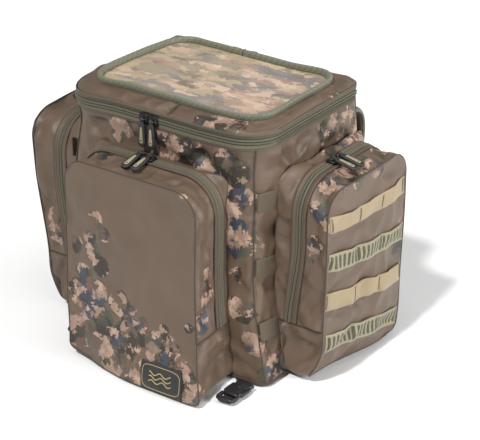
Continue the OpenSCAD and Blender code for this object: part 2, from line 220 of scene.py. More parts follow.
soft_light("fill", 98.0, 20.0, 2.6, 0.9, 54.0)
soft_light("top", 60.0, 80.0, 2.4, 0.9, 8.0)
sun_turn, sun_lift = math.radians(3.0), math.radians(53.0)
to_sun = Vector((math.sin(sun_turn) * math.cos(sun_lift), -math.cos(sun_turn) * math.cos(sun_lift),
                 math.sin(sun_lift)))
sun = bpy.data.objects.new("sun", bpy.data.lights.new("sun", "SUN"))
sun.data.energy, sun.data.angle = 2.95, math.radians(6.0)
sun.rotation_mode = "QUATERNION"
sun.rotation_quaternion = (-to_sun).to_track_quat("-Z", "Y")
scene.collection.objects.link(sun)
world = bpy.data.worlds.new("studio")
world.use_nodes = True
world.node_tree.nodes["Background"].inputs["Color"].default_value = (1.0, 1.0, 1.0, 1.0)
world.node_tree.nodes["Background"].inputs["Strength"].default_value = 0.34
scene.world = world
scene.view_settings.view_transform = "Standard"

# ---------------------------------------------------------------- Main compartment
# A box of coated oxford cloth over foam, cut in four walls and sewn at piped upright seams, with a print
# of leaves over parts of it. Its rounded collar carries the lid's zip.
MM = 0.001


def node_box(node):
    """Lowest and highest corners of a CAD node, in millimetres."""
    low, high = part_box(node)
    return np.array(low) / MM, np.array(high) / MM


body_low, body_high = node_box("main_compartment")
BODY_HALF, BODY_FRONT = body_high[0], -body_low[1]
ZIP_Z = (node_box("lid_zip_lower")[1][2] + node_box("lid_zip_upper")[0][2]) / 2
FRONT_STANDS_OUT = 73.0                    # how far the front pocket's seam lies before the front wall
TAPE = 10.0                                # visible tape on each side of the middle of a zip


def smooth(x, low, high):
    """0 below low, 1 above high, and 3s^2 - 2s^3 of the way s between them."""
    s = np.clip((x - low) / (high - low), 0.0, 1.0)
    return s * s * (3.0 - 2.0 * s)


def sag(p):
    """Where a point of the ideal bag ends up on the filled one: the main compartment spreads towards its
    base, the pockets draw in towards their foot and slope on top, the front pocket's foot swells, and the
    lid's rear left corner is drawn in."""
    p = np.array(p, float)
    x, y, z = p[..., 0].copy(), p[..., 1].copy(), p[..., 2].copy()
    side, out = np.sign(x), np.clip(np.abs(x) - BODY_HALF, 0.0, None)
    # The main compartment widens towards its base, less so beside its front corners.
    spread = np.interp(z, [12.0, 150.0, 300.0, 330.0], [12.0, 2.0, 4.0, 7.0])
    spread -= np.interp(z, [3, 50, 110, 200, 290, 324], [-2, 3, 8, 7, 6, 0]) * smooth(-y, -40, 100)
    spread -= 3.5 * smooth(z, 290, 325) * (x > 0)
    spread = spread * smooth(np.abs(x), 60.0, BODY_HALF) * (1 - smooth(out, 0, 28))
    # A side pocket draws in and tucks under towards its foot, and its front and rear edges turn in.
    low = smooth(-z, -200.0, -64.0)
    draw = -16.0 * low * np.interp(out, [0, 33, 78], [0, 1, 0]) * (1 - 0.5 * smooth(y, -20, 90))
    draw -= np.where(side < 0, 16.0, 4.0) * low * smooth(out, 33, 78)
    tuck = -0.42 * out * np.clip(1.0 - z / 62.0, 0.0, 1.0) ** 2 * (1 - 0.85 * smooth(y, -40, 80))
    draw += np.where(side < 0, 5.0, 0.0) * smooth(z, 150, 270) * smooth(out, 40, 78)
    pull_in = -3.0 * smooth(out, 43.0, 78.0) * smooth(np.abs(y - 18), 20, 90)
    p[..., 0] = side * (np.abs(x) + spread + np.where(out > 0, draw + tuck + pull_in, 0.0))
    # Its top rises at the bag and falls away from it, and its foot sinks a little.
    slope = np.where(out < 33, 6 - 6 * out / 33, np.where(side < 0, 0.05, 0.13) * (33 - out))
    p[..., 2] += slope * smooth(z, 200.0, 276.0) * smooth(out, -1.0, 8.0)
    p[..., 2] -= 3.0 * np.exp(-((z / 24.0) ** 2)) * smooth(out, 4.0, 30.0)
    # The front pocket swells at its foot, and leans to the right as it stands out.
    front = np.clip(-BODY_FRONT - y, 0.0, None) / FRONT_STANDS_OUT
    belly = 17.5 * np.exp(-(((z - 8.0) / 52.0) ** 2)) * (0.05 + 0.95 * smooth(x, -112, 30))
    p[..., 1] -= (belly - 2.0 * smooth(z, 150.0, 280.0)) * np.clip(front, 0.0, 1.0) ** 1.5
    p[..., 0] += smooth(front, 0.15, 1.0) * np.where(x < 0, 8.0 + 9.0 * smooth(-z, -110, -5),
                                                     3.0) * np.abs(x) / 106
    p[..., 0] += smooth(front, 0.3, 1.0) * 8.0 * np.exp(-(((z - 14.0) / 34.0) ** 2)) * smooth(x, 40, 106)
    p[..., 2] += smooth(front, 0.5, 1.0) * 8.0 * smooth(-z, -60, 0) * smooth(-x, 40, 106)
    # The lid's rear left corner is drawn in, and its front edge droops on the left.
    p[..., 0] += 15.0 * np.clip(-x / BODY_HALF, 0, 1) * smooth(y, -70.0, 100.0) * smooth(z, 276.0, 325.0)
    near = np.exp(-(((x - 130) ** 2 + (y + 95) ** 2) / 60.0**2))
    fall = near + 5.0 * smooth(-x, 60, 150) * smooth(-y, 0, 110) - 4.0 * smooth(x, 50, 149)
    p[..., 2] -= fall * smooth(z, 290.0, 325.0)
    return p


def ripple(p, length, seed, count=14):
    """The sum of sine waves with seeded directions, and lengths near the given one, scaled to about 1."""
    draw = np.random.default_rng(seed)
    ways = draw.normal(size=(count, 3))
    ways /= np.linalg.norm(ways, axis=1)[:, None] * length * draw.uniform(0.7, 1.5, count)[:, None]
    phase = draw.uniform(0, 2 * np.pi, count)
    return np.sin(2 * np.pi * p @ ways.T + phase).sum(axis=-1) * math.sqrt(2.0 / count)


def crumple(p, length, seed):
    """Ridges with rounded hollows between them, as in handled cloth: 0.7 - |ripple|."""
    return 0.7 - np.abs(ripple(p, length, seed, 9))


def crease(p, start, end, depth, width):
    """A fold along start to end: depth times exp(-(distance / width)^1.4), fading towards both its ends."""
    start, end = np.array(start, float), np.array(end, float)
    along = end - start
    t = np.clip((p - start) @ along / (along @ along), 0.0, 1.0)
    away = np.linalg.norm(p - start - t[..., None] * along, axis=-1)
    return depth * np.exp(-((away / width) ** 1.4)) * np.sin(np.pi * (0.08 + 0.84 * t)) ** 0.6


def folds(p, *lines):
    """The sum of creases, each given as (start, end, depth, width)."""
    return sum(crease(p, *line) for line in lines)


def rounded(half, low, high, r_high, r_low=None, counts=(40, 12, 60)):
    """An outline's points (a, b) and outward normals, from (-half, low) up the left side, round two corners
    of radius r_high and down the right side; with r_low it goes on round the foot and closes. Each size
    may be a list, which makes one outline a row."""
    sizes = (half, low, high, r_high, 0.0 if r_low is None else r_low)
    half, low, high, r, f = np.broadcast_arrays(*(np.reshape(np.asarray(v, float), (-1, 1)) for v in sizes))
    s, q, w = (np.linspace(0.0, stop, n, endpoint=False) for stop, n in zip((1, np.pi / 2, 1), counts))
    side, top = high - r - low - f, 2 * half - 2 * r
    parts = [
        (-half + 0 * s, low + f + side * s, -1 + 0 * s, 0 * s),
        (-half + r * (1 - np.cos(q)), high - r + r * np.sin(q), -np.cos(q), np.sin(q)),
        (-half + r + top * w, high + 0 * w, 0 * w, 1 + 0 * w),
        (half - r + r * np.sin(q), high - r + r * np.cos(q), np.sin(q), np.cos(q)),
        (half + 0 * s, high - r - side * s, 1 + 0 * s, 0 * s),
    ]
    if r_low is None:
        parts.append((half + 0 * half, low + 0 * half, 1 + 0 * half, 0 * half))
    else:
        parts += [
            (half - f * (1 - np.cos(q)), low + f - f * np.sin(q), np.cos(q), -np.sin(q)),
            (half - f - (2 * half - 2 * f) * w, low + 0 * w, 0 * w, -1 + 0 * w),
            (-half + f - f * np.sin(q), low + f - f * np.cos(q), -np.sin(q), -np.cos(q)),
        ]
    rows = len(half)
    return [np.concatenate([np.broadcast_to(part[k], (rows, np.shape(part[k])[-1])) for part in parts],
                           axis=1) for k in range(4)]


def even(outline, step, close=False):
    """The same one-row outline at even distances of about step along it, and those distances."""
    a, b, na, nb = (np.append(v[0], v[0][:1]) if close else v[0] for v in outline)
    s = np.concatenate([[0], np.cumsum(np.hypot(np.diff(a), np.diff(b)))])
    t = np.linspace(0, s[-1], max(2, int(round(s[-1] / step))) + 1)
    t = t[:-1] if close else t
    return [np.interp(t, s, v)[None] for v in (a, b, na, nb)], t


def around(outline, proud, depth, place):
    """Carries profile points (proud, depth) round the outline, on its normals, and sags the result."""
    a, b, na, nb = outline
    proud, depth = (np.reshape(v, (-1, 1)) if np.ndim(v) < 2 else v for v in (proud, depth))
    return sag(place(a + na * proud, b + nb * proud, depth + 0 * a))


def surface(name, points, wrap=(False, False), inner=None, keep=None, weld=False):
    """A sheet of quads over a grid of points (rows, columns, xyz) in millimetres. wrap joins the last row
    or column to the first, and weld merges doubles at a pole. The map "along" holds distances over the
    sheet in metres. inner is a point on its inner side, and keep gives attributes by name."""
    rows, columns = points.shape[:2]
    i, j = np.arange(rows - (not wrap[0])), np.arange(columns - (not wrap[1]))
    i, j = (g.ravel() for g in np.meshgrid(i, j, indexing="ij"))
    i1, j1 = (i + 1) % rows, (j + 1) % columns
    faces = np.stack([i * columns + j, i1 * columns + j, i1 * columns + j1, i * columns + j1], axis=1)
    flat = points.reshape(-1, 3)
    closed = np.concatenate([points, points[:1]], axis=0) if wrap[0] else points
    closed = np.concatenate([closed, closed[:, :1]], axis=1) if wrap[1] else closed
    u, v = np.zeros(closed.shape[:2]), np.zeros(closed.shape[:2])
    u[:, 1:] = np.cumsum(np.linalg.norm(np.diff(closed, axis=1), axis=2), axis=1) * MM
    v[1:] = np.cumsum(np.linalg.norm(np.diff(closed, axis=0), axis=2), axis=0) * MM
    corner = np.stack([u[i, j], v[i, j], u[i + 1, j], v[i + 1, j], u[i + 1, j + 1], v[i + 1, j + 1],
                       u[i, j + 1], v[i, j + 1]], axis=1).reshape(-1, 4, 2)
    middle = flat.mean(axis=0) if inner is None else np.array(inner, float)
    a, b, c, d = (flat[faces[:, k]] for k in range(4))
    if (np.cross(c - a, d - b) * ((a + c) / 2 - middle)).sum() < 0:
        faces, corner = faces[:, ::-1], corner[:, ::-1]
    mesh = bpy.data.meshes.new(name)
    mesh.vertices.add(len(flat))
    mesh.vertices.foreach_set("co", (flat * MM).astype(np.float32).ravel())
    mesh.loops.add(faces.size)
    mesh.loops.foreach_set("vertex_index", np.ascontiguousarray(faces, dtype=np.int32).ravel())
    mesh.polygons.add(len(faces))
    mesh.polygons.foreach_set("loop_start", np.arange(0, faces.size, 4, dtype=np.int32))
    mesh.update(calc_edges=True)
    mesh.uv_layers.new(name="along").data.foreach_set("uv", np.ascontiguousarray(corner, np.float32).ravel())
    mesh.polygons.foreach_set("use_smooth", np.ones(len(faces), bool))
    for key, values in (keep or {}).items():
        mesh.attributes.new(key, "FLOAT", "POINT").data.foreach_set(
            "value", np.clip(values, 0, 1).astype(np.float32).ravel())
    if weld:
        soft = bmesh.new()
        soft.from_mesh(mesh)
        bmesh.ops.remove_doubles(soft, verts=soft.verts, dist=0.00002)
        soft.to_mesh(mesh)
        soft.free()
    mesh.validate()
    piece = bpy.data.objects.new(name, mesh)
    scene.collection.objects.link(piece)
    return piece


def thicken(piece, thickness, lined=0):
    """Gives a sheet its thickness on its inner side, in millimetres; lined moves that side's material on."""
    wall = piece.modifiers.new("thickness", "SOLIDIFY")
    wall.thickness, wall.offset, wall.use_even_offset = thickness * MM, -1.0, False
    wall.material_offset = lined
    return piece


def fit_out(piece, body, slot, *materials, replaces=()):
    """Gives a piece its finishes and hangs it from its body's empty; given two bodies with the bend's ends,
    it only bakes the piece's place. slot is not used.
    """
    for material in materials:
        piece.data.materials.append(material)
    if isinstance(body, str):
        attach(piece, body)
    else:
        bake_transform(piece)
    if replaces:
        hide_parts(*replaces)
    return piece


def tube(name, centre, normal, radius, close=False, sides=8):
    """A round tube of that radius along centre (points, xyz); normal sets where its first side lies."""
    ahead = np.roll(centre, -1, axis=0) - np.roll(centre, 1, axis=0) if close else np.gradient(centre, axis=0)
    ahead /= np.linalg.norm(ahead, axis=1)[:, None]
    across = np.cross(ahead, normal)
    across /= np.linalg.norm(across, axis=1)[:, None]
    up = np.cross(across, ahead)
    turn = np.linspace(0, 2 * np.pi, sides, endpoint=False)[:, None, None]
    ring = centre[None] + radius * (np.cos(turn) * up[None] + np.sin(turn) * across[None])
    if not close:
        ring = np.concatenate([np.broadcast_to(centre[:1], (sides, 1, 3)), ring,
                               np.broadcast_to(centre[-1:], (sides, 1, 3))], axis=1)
    return surface(name, ring, (True, close), centre.mean(axis=0), weld=not close)


def toned(colour, share):
    """That share of a colour's brightness."""
    return tuple(share * c for c in colour)


BROWN = (0.125, 0.083, 0.054)
LEAF, LEAF_SHADE = (0.470, 0.325, 0.245), (0.310, 0.200, 0.145)
MOSS = (0.062, 0.060, 0.036)
SLATE = (0.036, 0.048, 0.074)
ROSE = (0.170, 0.072, 0.062)
SHADE = (0.020, 0.015, 0.011)


def leaf_print(paint, cover, ground):
    """The printed camouflage over colour ground, where cover is above 0. Cells of two sizes with pointed
    edges each take the value of wide noise at their middle, so patches end in leaf-like steps; a patch
    shows where that value passes a level that falls from 0.9 to full as cover rises from 0 to 1."""
    here = paint.place()
    cover = paint.math("MULTIPLY", cover, 1.45, clamp=True)
    worn = paint.vector("SUBTRACT", paint.noise(here, 260.0, 2.0, out=1), (0.5, 0.5, 0.5))
    torn = paint.node("ShaderNodeVectorMath", {"operation": "MULTIPLY_ADD"},
                      {0: worn, 1: (0.008,) * 3, 2: here})

    def cells(scale):
        settings = {"distance": "MINKOWSKI"}
        return paint.node("ShaderNodeTexVoronoi", settings, {
            "Vector": torn, "Scale": scale, "Exponent": 0.70, "Randomness": 1.0}, out=2)

    large, small = cells(92.0), cells(200.0)

    def patch(where, shift, scale, full, sharp=50.0):
        value = paint.noise(paint.vector("ADD", where, shift), scale, 1.0)
        return paint.over(value, 0.9 - (0.9 - full) * cover, sharp)

    colour = paint.mix(patch(large, (0.7, 0.3, 0.5), 20.0, 0.43, 30.0) * 0.90, ground, MOSS)
    colour = paint.mix(patch(small, (1.9, 0.2, 0.8), 30.0, 0.53, 16.0) * 0.80, colour, ROSE)
    colour = paint.mix(patch(large, (4.2, 1.1, 0.3), 42.0, 0.56, 20.0) * 0.85, colour, ground)
    colour = paint.mix(patch(small, (0.2, 2.8, 0.4), 40.0, 0.52, 30.0) * 0.88, colour, SHADE)
    colour = paint.mix(patch(small, (3.1, 0.6, 1.4), 40.0, 0.59) * 0.92, colour, SLATE)
    tone = paint.noise(small, 90.0, 0.0)
    leaf_colour = paint.mix(paint.over(tone, 0.48, 5.0), LEAF_SHADE, LEAF)
    leaf = paint.math("MAXIMUM", patch(large, (0.0, 0.0, 0.0), 42.0, 0.555),
                      patch(small, (5.0, 1.0, 2.0), 56.0, 0.61))
    return paint.mix(leaf, colour, leaf_colour)


def cloth(name, ground, printed=False, gloss=0.43):
    """Coated oxford cloth: a basket weave in bump and colour, patchy sheen, rubbed and dusty high spots."""
    paint = Paint(name, {"Specular IOR Level": 0.48, "Sheen Weight": 0.04, "Sheen Roughness": 0.4})
    u, v = paint.uv()
    here = paint.place()
    pitch = 2 * math.pi / 0.0014
    weave = paint.math("SINE", u * pitch) * paint.math("SINE", v * pitch)
    slub = paint.noise(here, 800.0, 1.0)
    cloudy = paint.noise(here, 13.0, 3.0)
    shade = paint.mix(cloudy, toned(ground, 0.80), toned(ground, 1.20))
    if printed:
        shade = leaf_print(paint, paint.value("print"), shade)
    shade = paint.mix(0.07 * weave + 0.07 + 0.16 * slub, shade, toned(ground, 0.30))
    paint.feed("Base Color", shade)
    paint.feed("Roughness", gloss + 0.22 * cloudy + 0.10 * slub - 0.11)
    paint.bump(0.5 * weave + slub, 0.00014, 0.5)
    return paint.material


def ribbed_cloth(name, light, dark, pitch, gloss=0.6):
    """Woven tape: fine ribs across its length, a coarser twill in colour, and a few pulled threads."""
    paint = Paint(name, {"Specular IOR Level": 0.35, "Sheen Weight": 0.15, "Sheen Roughness": 0.5})
    u, v = paint.uv()
    here = paint.place()
    rib = paint.math("SINE", u * (2 * math.pi / pitch)) * 0.5 + 0.5
    twill = paint.math("SINE", (u + v) * (2 * math.pi / (2.6 * pitch))) * 0.5 + 0.5
    thread = paint.noise(here, 620.0, 2.0)
    dust = paint.noise(here, 30.0, 3.0)
    shade = paint.mix(0.45 * rib + 0.25 * twill + 0.3 * thread, dark, light)
    shade = paint.mix(0.25 * dust, shade, toned(dark, 0.55))
    paint.feed("Base Color", shade)
    paint.feed("Roughness", gloss + 0.2 * dust)
    paint.bump(0.6 * rib + 0.4 * thread, 0.0002, 0.6)
    return paint.material


camo_cloth = cloth("camo_cloth", BROWN, True)
brown_cloth = cloth("brown_cloth", BROWN)
lining = cloth("lining", (0.052, 0.048, 0.042), gloss=0.62)
dark_binding = ribbed_cloth("dark_binding", (0.074, 0.052, 0.036), (0.028, 0.020, 0.013), 0.0016)


def patches(p, *spots):
    """How much print covers each point: the strongest of soft spots (x, y, z, reach, amount)."""
    amount = np.zeros(p.shape[:-1])
    for *middle, reach, strength in spots:
        away = np.linalg.norm(p - np.array(middle, float), axis=-1)
        amount = np.maximum(amount, strength * (1.0 - smooth(away, 0.35 * reach, 1.3 * reach)))
    return amount


def main_wall():
    """The four walls as one grid, height by perimeter. The corner radius grows from 14 to 45 mm up the
    collar; each wall swells by 1 - t^2 across it, with soft ripples and drawn folds."""
    z = np.linspace(2.5, ZIP_Z - TAPE + 2, 112)[:, None]
    collar = smooth(z, 215.0, ZIP_Z - TAPE)
    a, b, na, nb = rounded(BODY_HALF, -BODY_FRONT, BODY_FRONT, 14.0 + 10.0 * collar, 14.0 + 31.0 * collar,
                           (76, 14, 110))
    p = np.stack([a, b, z + 0 * a], axis=-1)
    across = np.where(np.abs(nb) > np.abs(na), a / BODY_HALF, b / BODY_FRONT)
    face = np.clip(1.0 - across**2, 0.0, 1.0) * np.abs(np.abs(na) - np.abs(nb))
    swell = 3.0 * face * np.sin(np.pi * np.clip(z / ZIP_Z, 0, 1))
    swell += (2.0 * ripple(p, 70.0, 3) + 1.0 * ripple(p, 30.0, 4) + 3.0 * crumple(p, 46.0, 5)) * face**0.5
    swell += folds(
        p, ((-128, -114, 304), (-70, -114, 268), -6.0, 8), ((52, -114, 300), (128, -110, 262), -6.8, 9),
        ((10, -114, 312), (100, -114, 306), 3.7, 8), ((-60, -114, 300), (40, -114, 286), -5.1, 9),
        ((149, -70, 318), (149, -44, 280), -5.1, 8), ((149, -30, 314), (149, -16, 284), 3.4, 8),
        ((149, 22, 318), (149, 34, 282), -5.8, 6), ((149, 40, 318), (149, 48, 286), 4.1, 6),
        ((149, 58, 319), (149, 58, 284), -5.4, 5), ((149, 74, 319), (149, 70, 288), 4.4, 5),
        ((149, 88, 319), (149, 88, 282), -5.4, 5), ((118, -114, 246), (146, -100, 206), -4.4, 8),
        ((120, -114, 236), (149, -98, 232), 3.4, 6), ((118, -114, 150), (147, -104, 116), -5.1, 9),
        ((149, -104, 146), (149, -76, 120), -4.4, 8), ((118, -114, 92), (146, -104, 56), 4.4, 9),
        ((149, -104, 62), (149, -76, 30), -5.4, 8), ((112, -114, 30), (140, -110, 14), -4.2, 8),
        ((-149, 40, 318), (-149, 30, 284), -5.1, 7), ((-110, 114, 60), (-122, 114, 200), -4.2, 10),
        ((118, 114, 60), (124, 114, 200), -4.2, 10))
    seam = smooth(z, 0.0, 14.0) * (1 - smooth(z, ZIP_Z - TAPE - 14, ZIP_Z - TAPE - 1)) * (1 -
            smooth(nb, 0.2, 0.9))
    p[..., 0] += na * swell * seam
    p[..., 1] += nb * swell * seam
    cover = patches(p, (-62, -114, 302, 26, 0.9), (10, -114, 300, 34, 0.9), (50, -114, 288, 40, 1.0),
                    (92, -114, 286, 40, 1.0), (122, -114, 290, 24, 0.8), (128, -114, 244, 34, 1.0),
                    (124, -114, 200, 36, 1.0), (138, -114, 58, 22, 1.0), (128, -114, 104, 26, 0.9),
                    (149, 30, 304, 26, 0.9), (149, 80, 302, 40, 1.0), (149, -88, 16, 28, 1.0),
                    (122, -114, 150, 20, 0.7), (-149, 20, 300, 46, 0.9), (-149, -98, 120, 30, 0.8),
                    (-120, -114, 90, 44, 0.9), (-60, 114, 60, 60, 0.8), (110, 114, 250, 60, 0.8))
    return surface("main_wall", sag(p), (False, True), (0, 0, 160), {"print": cover})


fit_out(thicken(main_wall(), 3.4, 1), "bag", "camo_fabric", camo_cloth, lining,
        replaces=("main_compartment",))


def corner_seam(name, side, end):
    """A bound seam up one corner: a tube on the middle of the corner's round, from the base to the zip."""
    z = np.linspace(4.0, ZIP_Z - TAPE - 1, 120)
    r = 14.0 + (31.0 if end < 0 else 10.0) * smooth(z, 215.0, ZIP_Z - TAPE)
    reach = 1 - math.sqrt(0.5)
    p = np.stack([side * (BODY_HALF - r * reach + 0.5), end * (BODY_FRONT - r * reach + 0.5), z], axis=1)
    normal = np.broadcast_to([side, end, 0.0], p.shape) * math.sqrt(0.5)
    fit_out(tube(name, sag(p), normal, 0.9), "bag", "brown_fabric", dark_binding)


for name, side, end in (("front_right", 1, -1), ("front_left", -1, -1), ("back_right", 1, 1),
                        ("back_left", -1, 1)):
    corner_seam(f"{name}_corner_seam", side, end)


def as_is(x, y, z):
    return np.stack([x, y, z], axis=-1)


foot_line, _ = even(rounded(BODY_HALF, -BODY_FRONT, BODY_FRONT, 14.0, 14.0), 4.0, True)
fit_out(tube("base_piping", around(foot_line, 0.6, 4.0, as_is)[0],
             np.stack([foot_line[2][0], foot_line[3][0], 0 * foot_line[2][0]], axis=1), 2.2, True),
        "bag", "brown_fabric", dark_binding)

# ---------------------------------------------------------------- Lid
# A stiffened panel with the same cloth: a border that rises from the zip to the tray's rim, cut in
# pieces joined by bound seams. It is sewn to the back wall by a folded strip that acts as its hinge.
rim_low, rim_high = node_box("tray_rim")
RIM_HALF = rim_high[0] + 4.0
RIM_MID, RIM_DEEP = (rim_high[1] + rim_low[1]) / 2 - 4.0, (rim_high[1] - rim_low[1]) / 2 + 8.0
LID_TOP = rim_low[2]
LID_COUNTS = (90, 16, 120)


def lid_panel():
    """Outlines that pass from the zip's edge to the rim and on to the middle, as rows. Height climbs
    quickly over the edge, then slowly to the rim; ripples fade at both seams."""
    t = np.concatenate([np.linspace(0, 0.12, 7), np.linspace(0.16, 1, 22), np.linspace(1.05, 1.97, 12),
                        [2.0]])
    out = np.clip(t, 0, 1)
    inward = np.clip(2.0 - t, 0.0, 1.0)
    half = (BODY_HALF + (RIM_HALF - 2 - BODY_HALF) * out) * inward
    deep = (BODY_FRONT + (RIM_DEEP - 2 - BODY_FRONT) * out) * inward
    radius = np.minimum((45.0 - 13.0 * out), np.minimum(half, deep)) * np.where(inward < 1, inward, 1.0)
    rear = np.minimum(24.0 + 8.0 * out, radius)
    a, b, na, _ = rounded(half, -deep, deep, rear, radius, LID_COUNTS)
    b = b + (RIM_MID * out)[:, None]
    z = np.interp(t, [0, 0.03, 0.10, 0.35, 1.0, 1.1, 2.0],
                  [334.0, 338.5, 341.0, 343.0, 344.5, 342.0, 341.5])[:, None]
    p = np.stack([a, b, z + 0 * a], axis=-1)
    free = (smooth(t, 0.0, 0.25) * smooth(-t, -1.0, -0.75))[:, None]
    swell = 1.3 * ripple(p, 55.0, 11) + 0.6 * ripple(p, 24.0, 12) + 1.6 * crumple(p, 40.0, 13) + folds(
        p, ((12, -112, 343), (12, -78, 344), -2.6, 4), ((60, -112, 341), (100, -92, 344), -2.0, 6),
        ((128, -96, 341), (118, -74, 344), -2.4, 7), ((147, -40, 341), (128, -30, 344), -1.8, 6),
        ((146, 20, 341), (128, 30, 344), 1.8, 6), ((-60, -112, 341), (-70, -82, 344), 1.6, 6),
        ((-118, -104, 341), (-104, -80, 344), -2.2, 7), ((-147, 0, 341), (-127, 10, 344), -1.6, 6))
    p[..., 2] += swell * free
    p[..., 0] += na * 0.5 * swell * free
    cover = patches(p, (92, -104, 342, 34, 1.0), (66, -108, 342, 22, 0.8), (-60, 110, 342, 60, 0.9),
                    (140, 60, 342, 30, 0.6), (-142, 60, 342, 34, 0.7))
    return surface("lid_panel", sag(p), (False, True), (0, 0, 200), {"print": cover}, weld=True)


fit_out(thicken(lid_panel(), 3.2, 1), "lid", "brown_fabric", camo_cloth, lining, replaces=("lid_shell",))

across_lid = np.linspace(0, 1, 24)
cross = np.stack([12 + 0 * across_lid, -113.5 + 37.5 * across_lid,
                  np.interp(across_lid, [0, 0.06, 0.3, 1], [337, 341.2, 343.4, 345.0])], axis=1)
fit_out(tube("lid_border_seam", sag(cross), np.array([0.0, 0.0, 1.0]), 0.8), "lid", "brown_fabric",
        dark_binding)


def lid_ring():
    """The zip's line around the lid, starting and ending behind the rear corners."""
    a, b, na, nb = (v[0] for v in rounded(BODY_HALF, -BODY_FRONT, BODY_FRONT, 24.0, 45.0, LID_COUNTS))
    start = np.argmax(b > BODY_FRONT - 1e-6) + 40
    a, b, na, nb = (np.roll(v, -start) for v in (a, b, na, nb))
    on_zip = b <= 99.0
    first, last = np.argmax(on_zip), len(b) - np.argmax(on_zip[::-1])
    front = [v[first:last][None] for v in (a, b, na, nb)]
    rear = [np.concatenate([v[last - 1:], v[:first + 1]])[None] for v in (a, b, na, nb)]
    return front, rear


zip_line, hinge_line = lid_ring()
hinge_rows = np.linspace(ZIP_Z - TAPE - 2, ZIP_Z + TAPE, 26)
hinge_cloth = surface("lid_hinge_cloth", around(hinge_line, 0.7 - 0.9 *
                                                np.exp(-((hinge_rows - ZIP_Z) / 3.0) ** 2), hinge_rows,
                                                as_is), inner=(0, 0, ZIP_Z))
fit_out(thicken(hinge_cloth, 1.2), ("bag", "lid", (0, 0.114, 0.322), (0, 0.114, 0.334)), "brown_fabric",
        brown_cloth, replaces=("lid_hinge_strip",))

# ---------------------------------------------------------------- Zips
# Coil zips on woven tape: each half is one strip whose inner edge carries the ribbed coil, sewn on with a
# line of stitches and edged with a thin cord of the tape's colour.
thread = ribbed_cloth("thread", (0.085, 0.064, 0.044), (0.040, 0.030, 0.022), 0.0006)
zip_coil = ribbed_cloth("zip_coil", (0.150, 0.142, 0.092), (0.048, 0.044, 0.029), 0.0012, 0.38)


def tape_cloth():
    """Zip tape: olive ribbed weave near the coil, the bag's brown cloth lapped over its outer part, and
    painted shade, near black, in the groove beside the coil and along the middle where the two halves meet."""
    paint = Paint("zip_tape", {"Specular IOR Level": 0.4, "Sheen Weight": 0.05})
    u, _ = paint.uv()
    here = paint.place()
    rib = paint.math("SINE", u * (2 * math.pi / 0.0014)) * 0.5 + 0.5
    grain, dust = paint.noise(here, 620.0, 2.0), paint.noise(here, 30.0, 3.0)
    tape = paint.mix(0.6 * rib + 0.4 * grain, (0.060, 0.053, 0.032), (0.140, 0.125, 0.078))
    lap = paint.mix(0.4 * dust + 0.3 * grain, BROWN, toned(BROWN, 0.66))
    shade = paint.mix(paint.value("tape"), lap, tape)
    # Painted shade: where the "gap" attribute is 1, in the groove and between the halves, the colour goes
    # near black.
    paint.feed("Base Color", paint.mix(paint.value("gap") * 0.88, shade, (0.016, 0.014, 0.011)))
    paint.feed("Roughness", 0.48 + 0.25 * dust)
    paint.bump(0.5 * rib + 0.5 * grain, 0.0002, 0.5)
    return paint.material


zip_tape = tape_cloth()


def turn_outward(piece):
    """Turns every face of a closed piece to the outside."""
    loose = bmesh.new()
    loose.from_mesh(piece.data)
    bmesh.ops.recalc_face_normals(loose, faces=loose.faces)
    loose.to_mesh(piece.data)
    loose.free()
    return piece


STITCH_LIFT = 0.15                         # how far a stitch's middle stands off the cloth


def stitches(name, line, normal, body, slot, finish=thread, long=2.8, gap=1.6, thick=0.32):
    """A row of stitches on line: each is a capsule of 6 sides and 5 rings, its radius sqrt(1.02 - t^2)."""
    step = np.linalg.norm(np.diff(line, axis=0), axis=1)
    s = np.concatenate([[0], np.cumsum(step)])
    starts = np.arange(0.8, s[-1] - long, long + gap)
    t = np.array([-1.0, -0.75, 0.0, 0.75, 1.0])
    where = starts[:, None] + long * (t + 1) / 2
    centre = np.stack([np.interp(where, s, line[:, k]) for k in range(3)], axis=-1)
    up = np.stack([np.interp(where, s, normal[:, k]) for k in range(3)], axis=-1)
    ahead = centre[:, -1:] - centre[:, :1]
    ahead = ahead / np.linalg.norm(ahead, axis=-1, keepdims=True)
    side = np.cross(up, ahead)
    turn = np.linspace(0, 2 * np.pi, 6, endpoint=False)[None, None, :, None]
    radius = (thick * np.sqrt(1.02 - t**2))[None, :, None, None]
    ring = centre[:, :, None] + up[:, :, None] * STITCH_LIFT + radius * (
        np.cos(turn) * up[:, :, None] + np.sin(turn) * side[:, :, None])
    count, rings = ring.shape[:2]
    base = (np.arange(count) * rings * 6)[:, None, None]
    r, c = np.meshgrid(np.arange(rings - 1), np.arange(6), indexing="ij")
    quad = np.stack([r * 6 + c, r * 6 + (c + 1) % 6, (r + 1) * 6 + (c + 1) % 6, (r + 1) * 6 + c], axis=-1)
    quads = (base[..., None] + quad[None]).reshape(-1, 4)
    ends = np.concatenate([np.arange(6)[::-1][None] + base[:, 0], np.arange(6)[None] + (rings - 1) * 6 +
                           base[:, 0]])
    mesh = bpy.data.meshes.new(name)
    mesh.from_pydata((ring.reshape(-1, 3) * MM).tolist(), [], quads.tolist() + ends.tolist())
    mesh.uv_layers.new(name="along")
    mesh.polygons.foreach_set("use_smooth", np.ones(len(mesh.polygons), bool))
    piece = bpy.data.objects.new(name, mesh)
    scene.collection.objects.link(piece)
    return fit_out(turn_outward(piece), body, slot, finish)


def flat_normals(outline, place):
    """Outward directions along an outline, as place turns them, for stitches and tubes."""
    a, b, na, nb = outline
    n = place(a + na, b + nb, 0 * a) - place(a, b, 0 * a)
    return n[0]


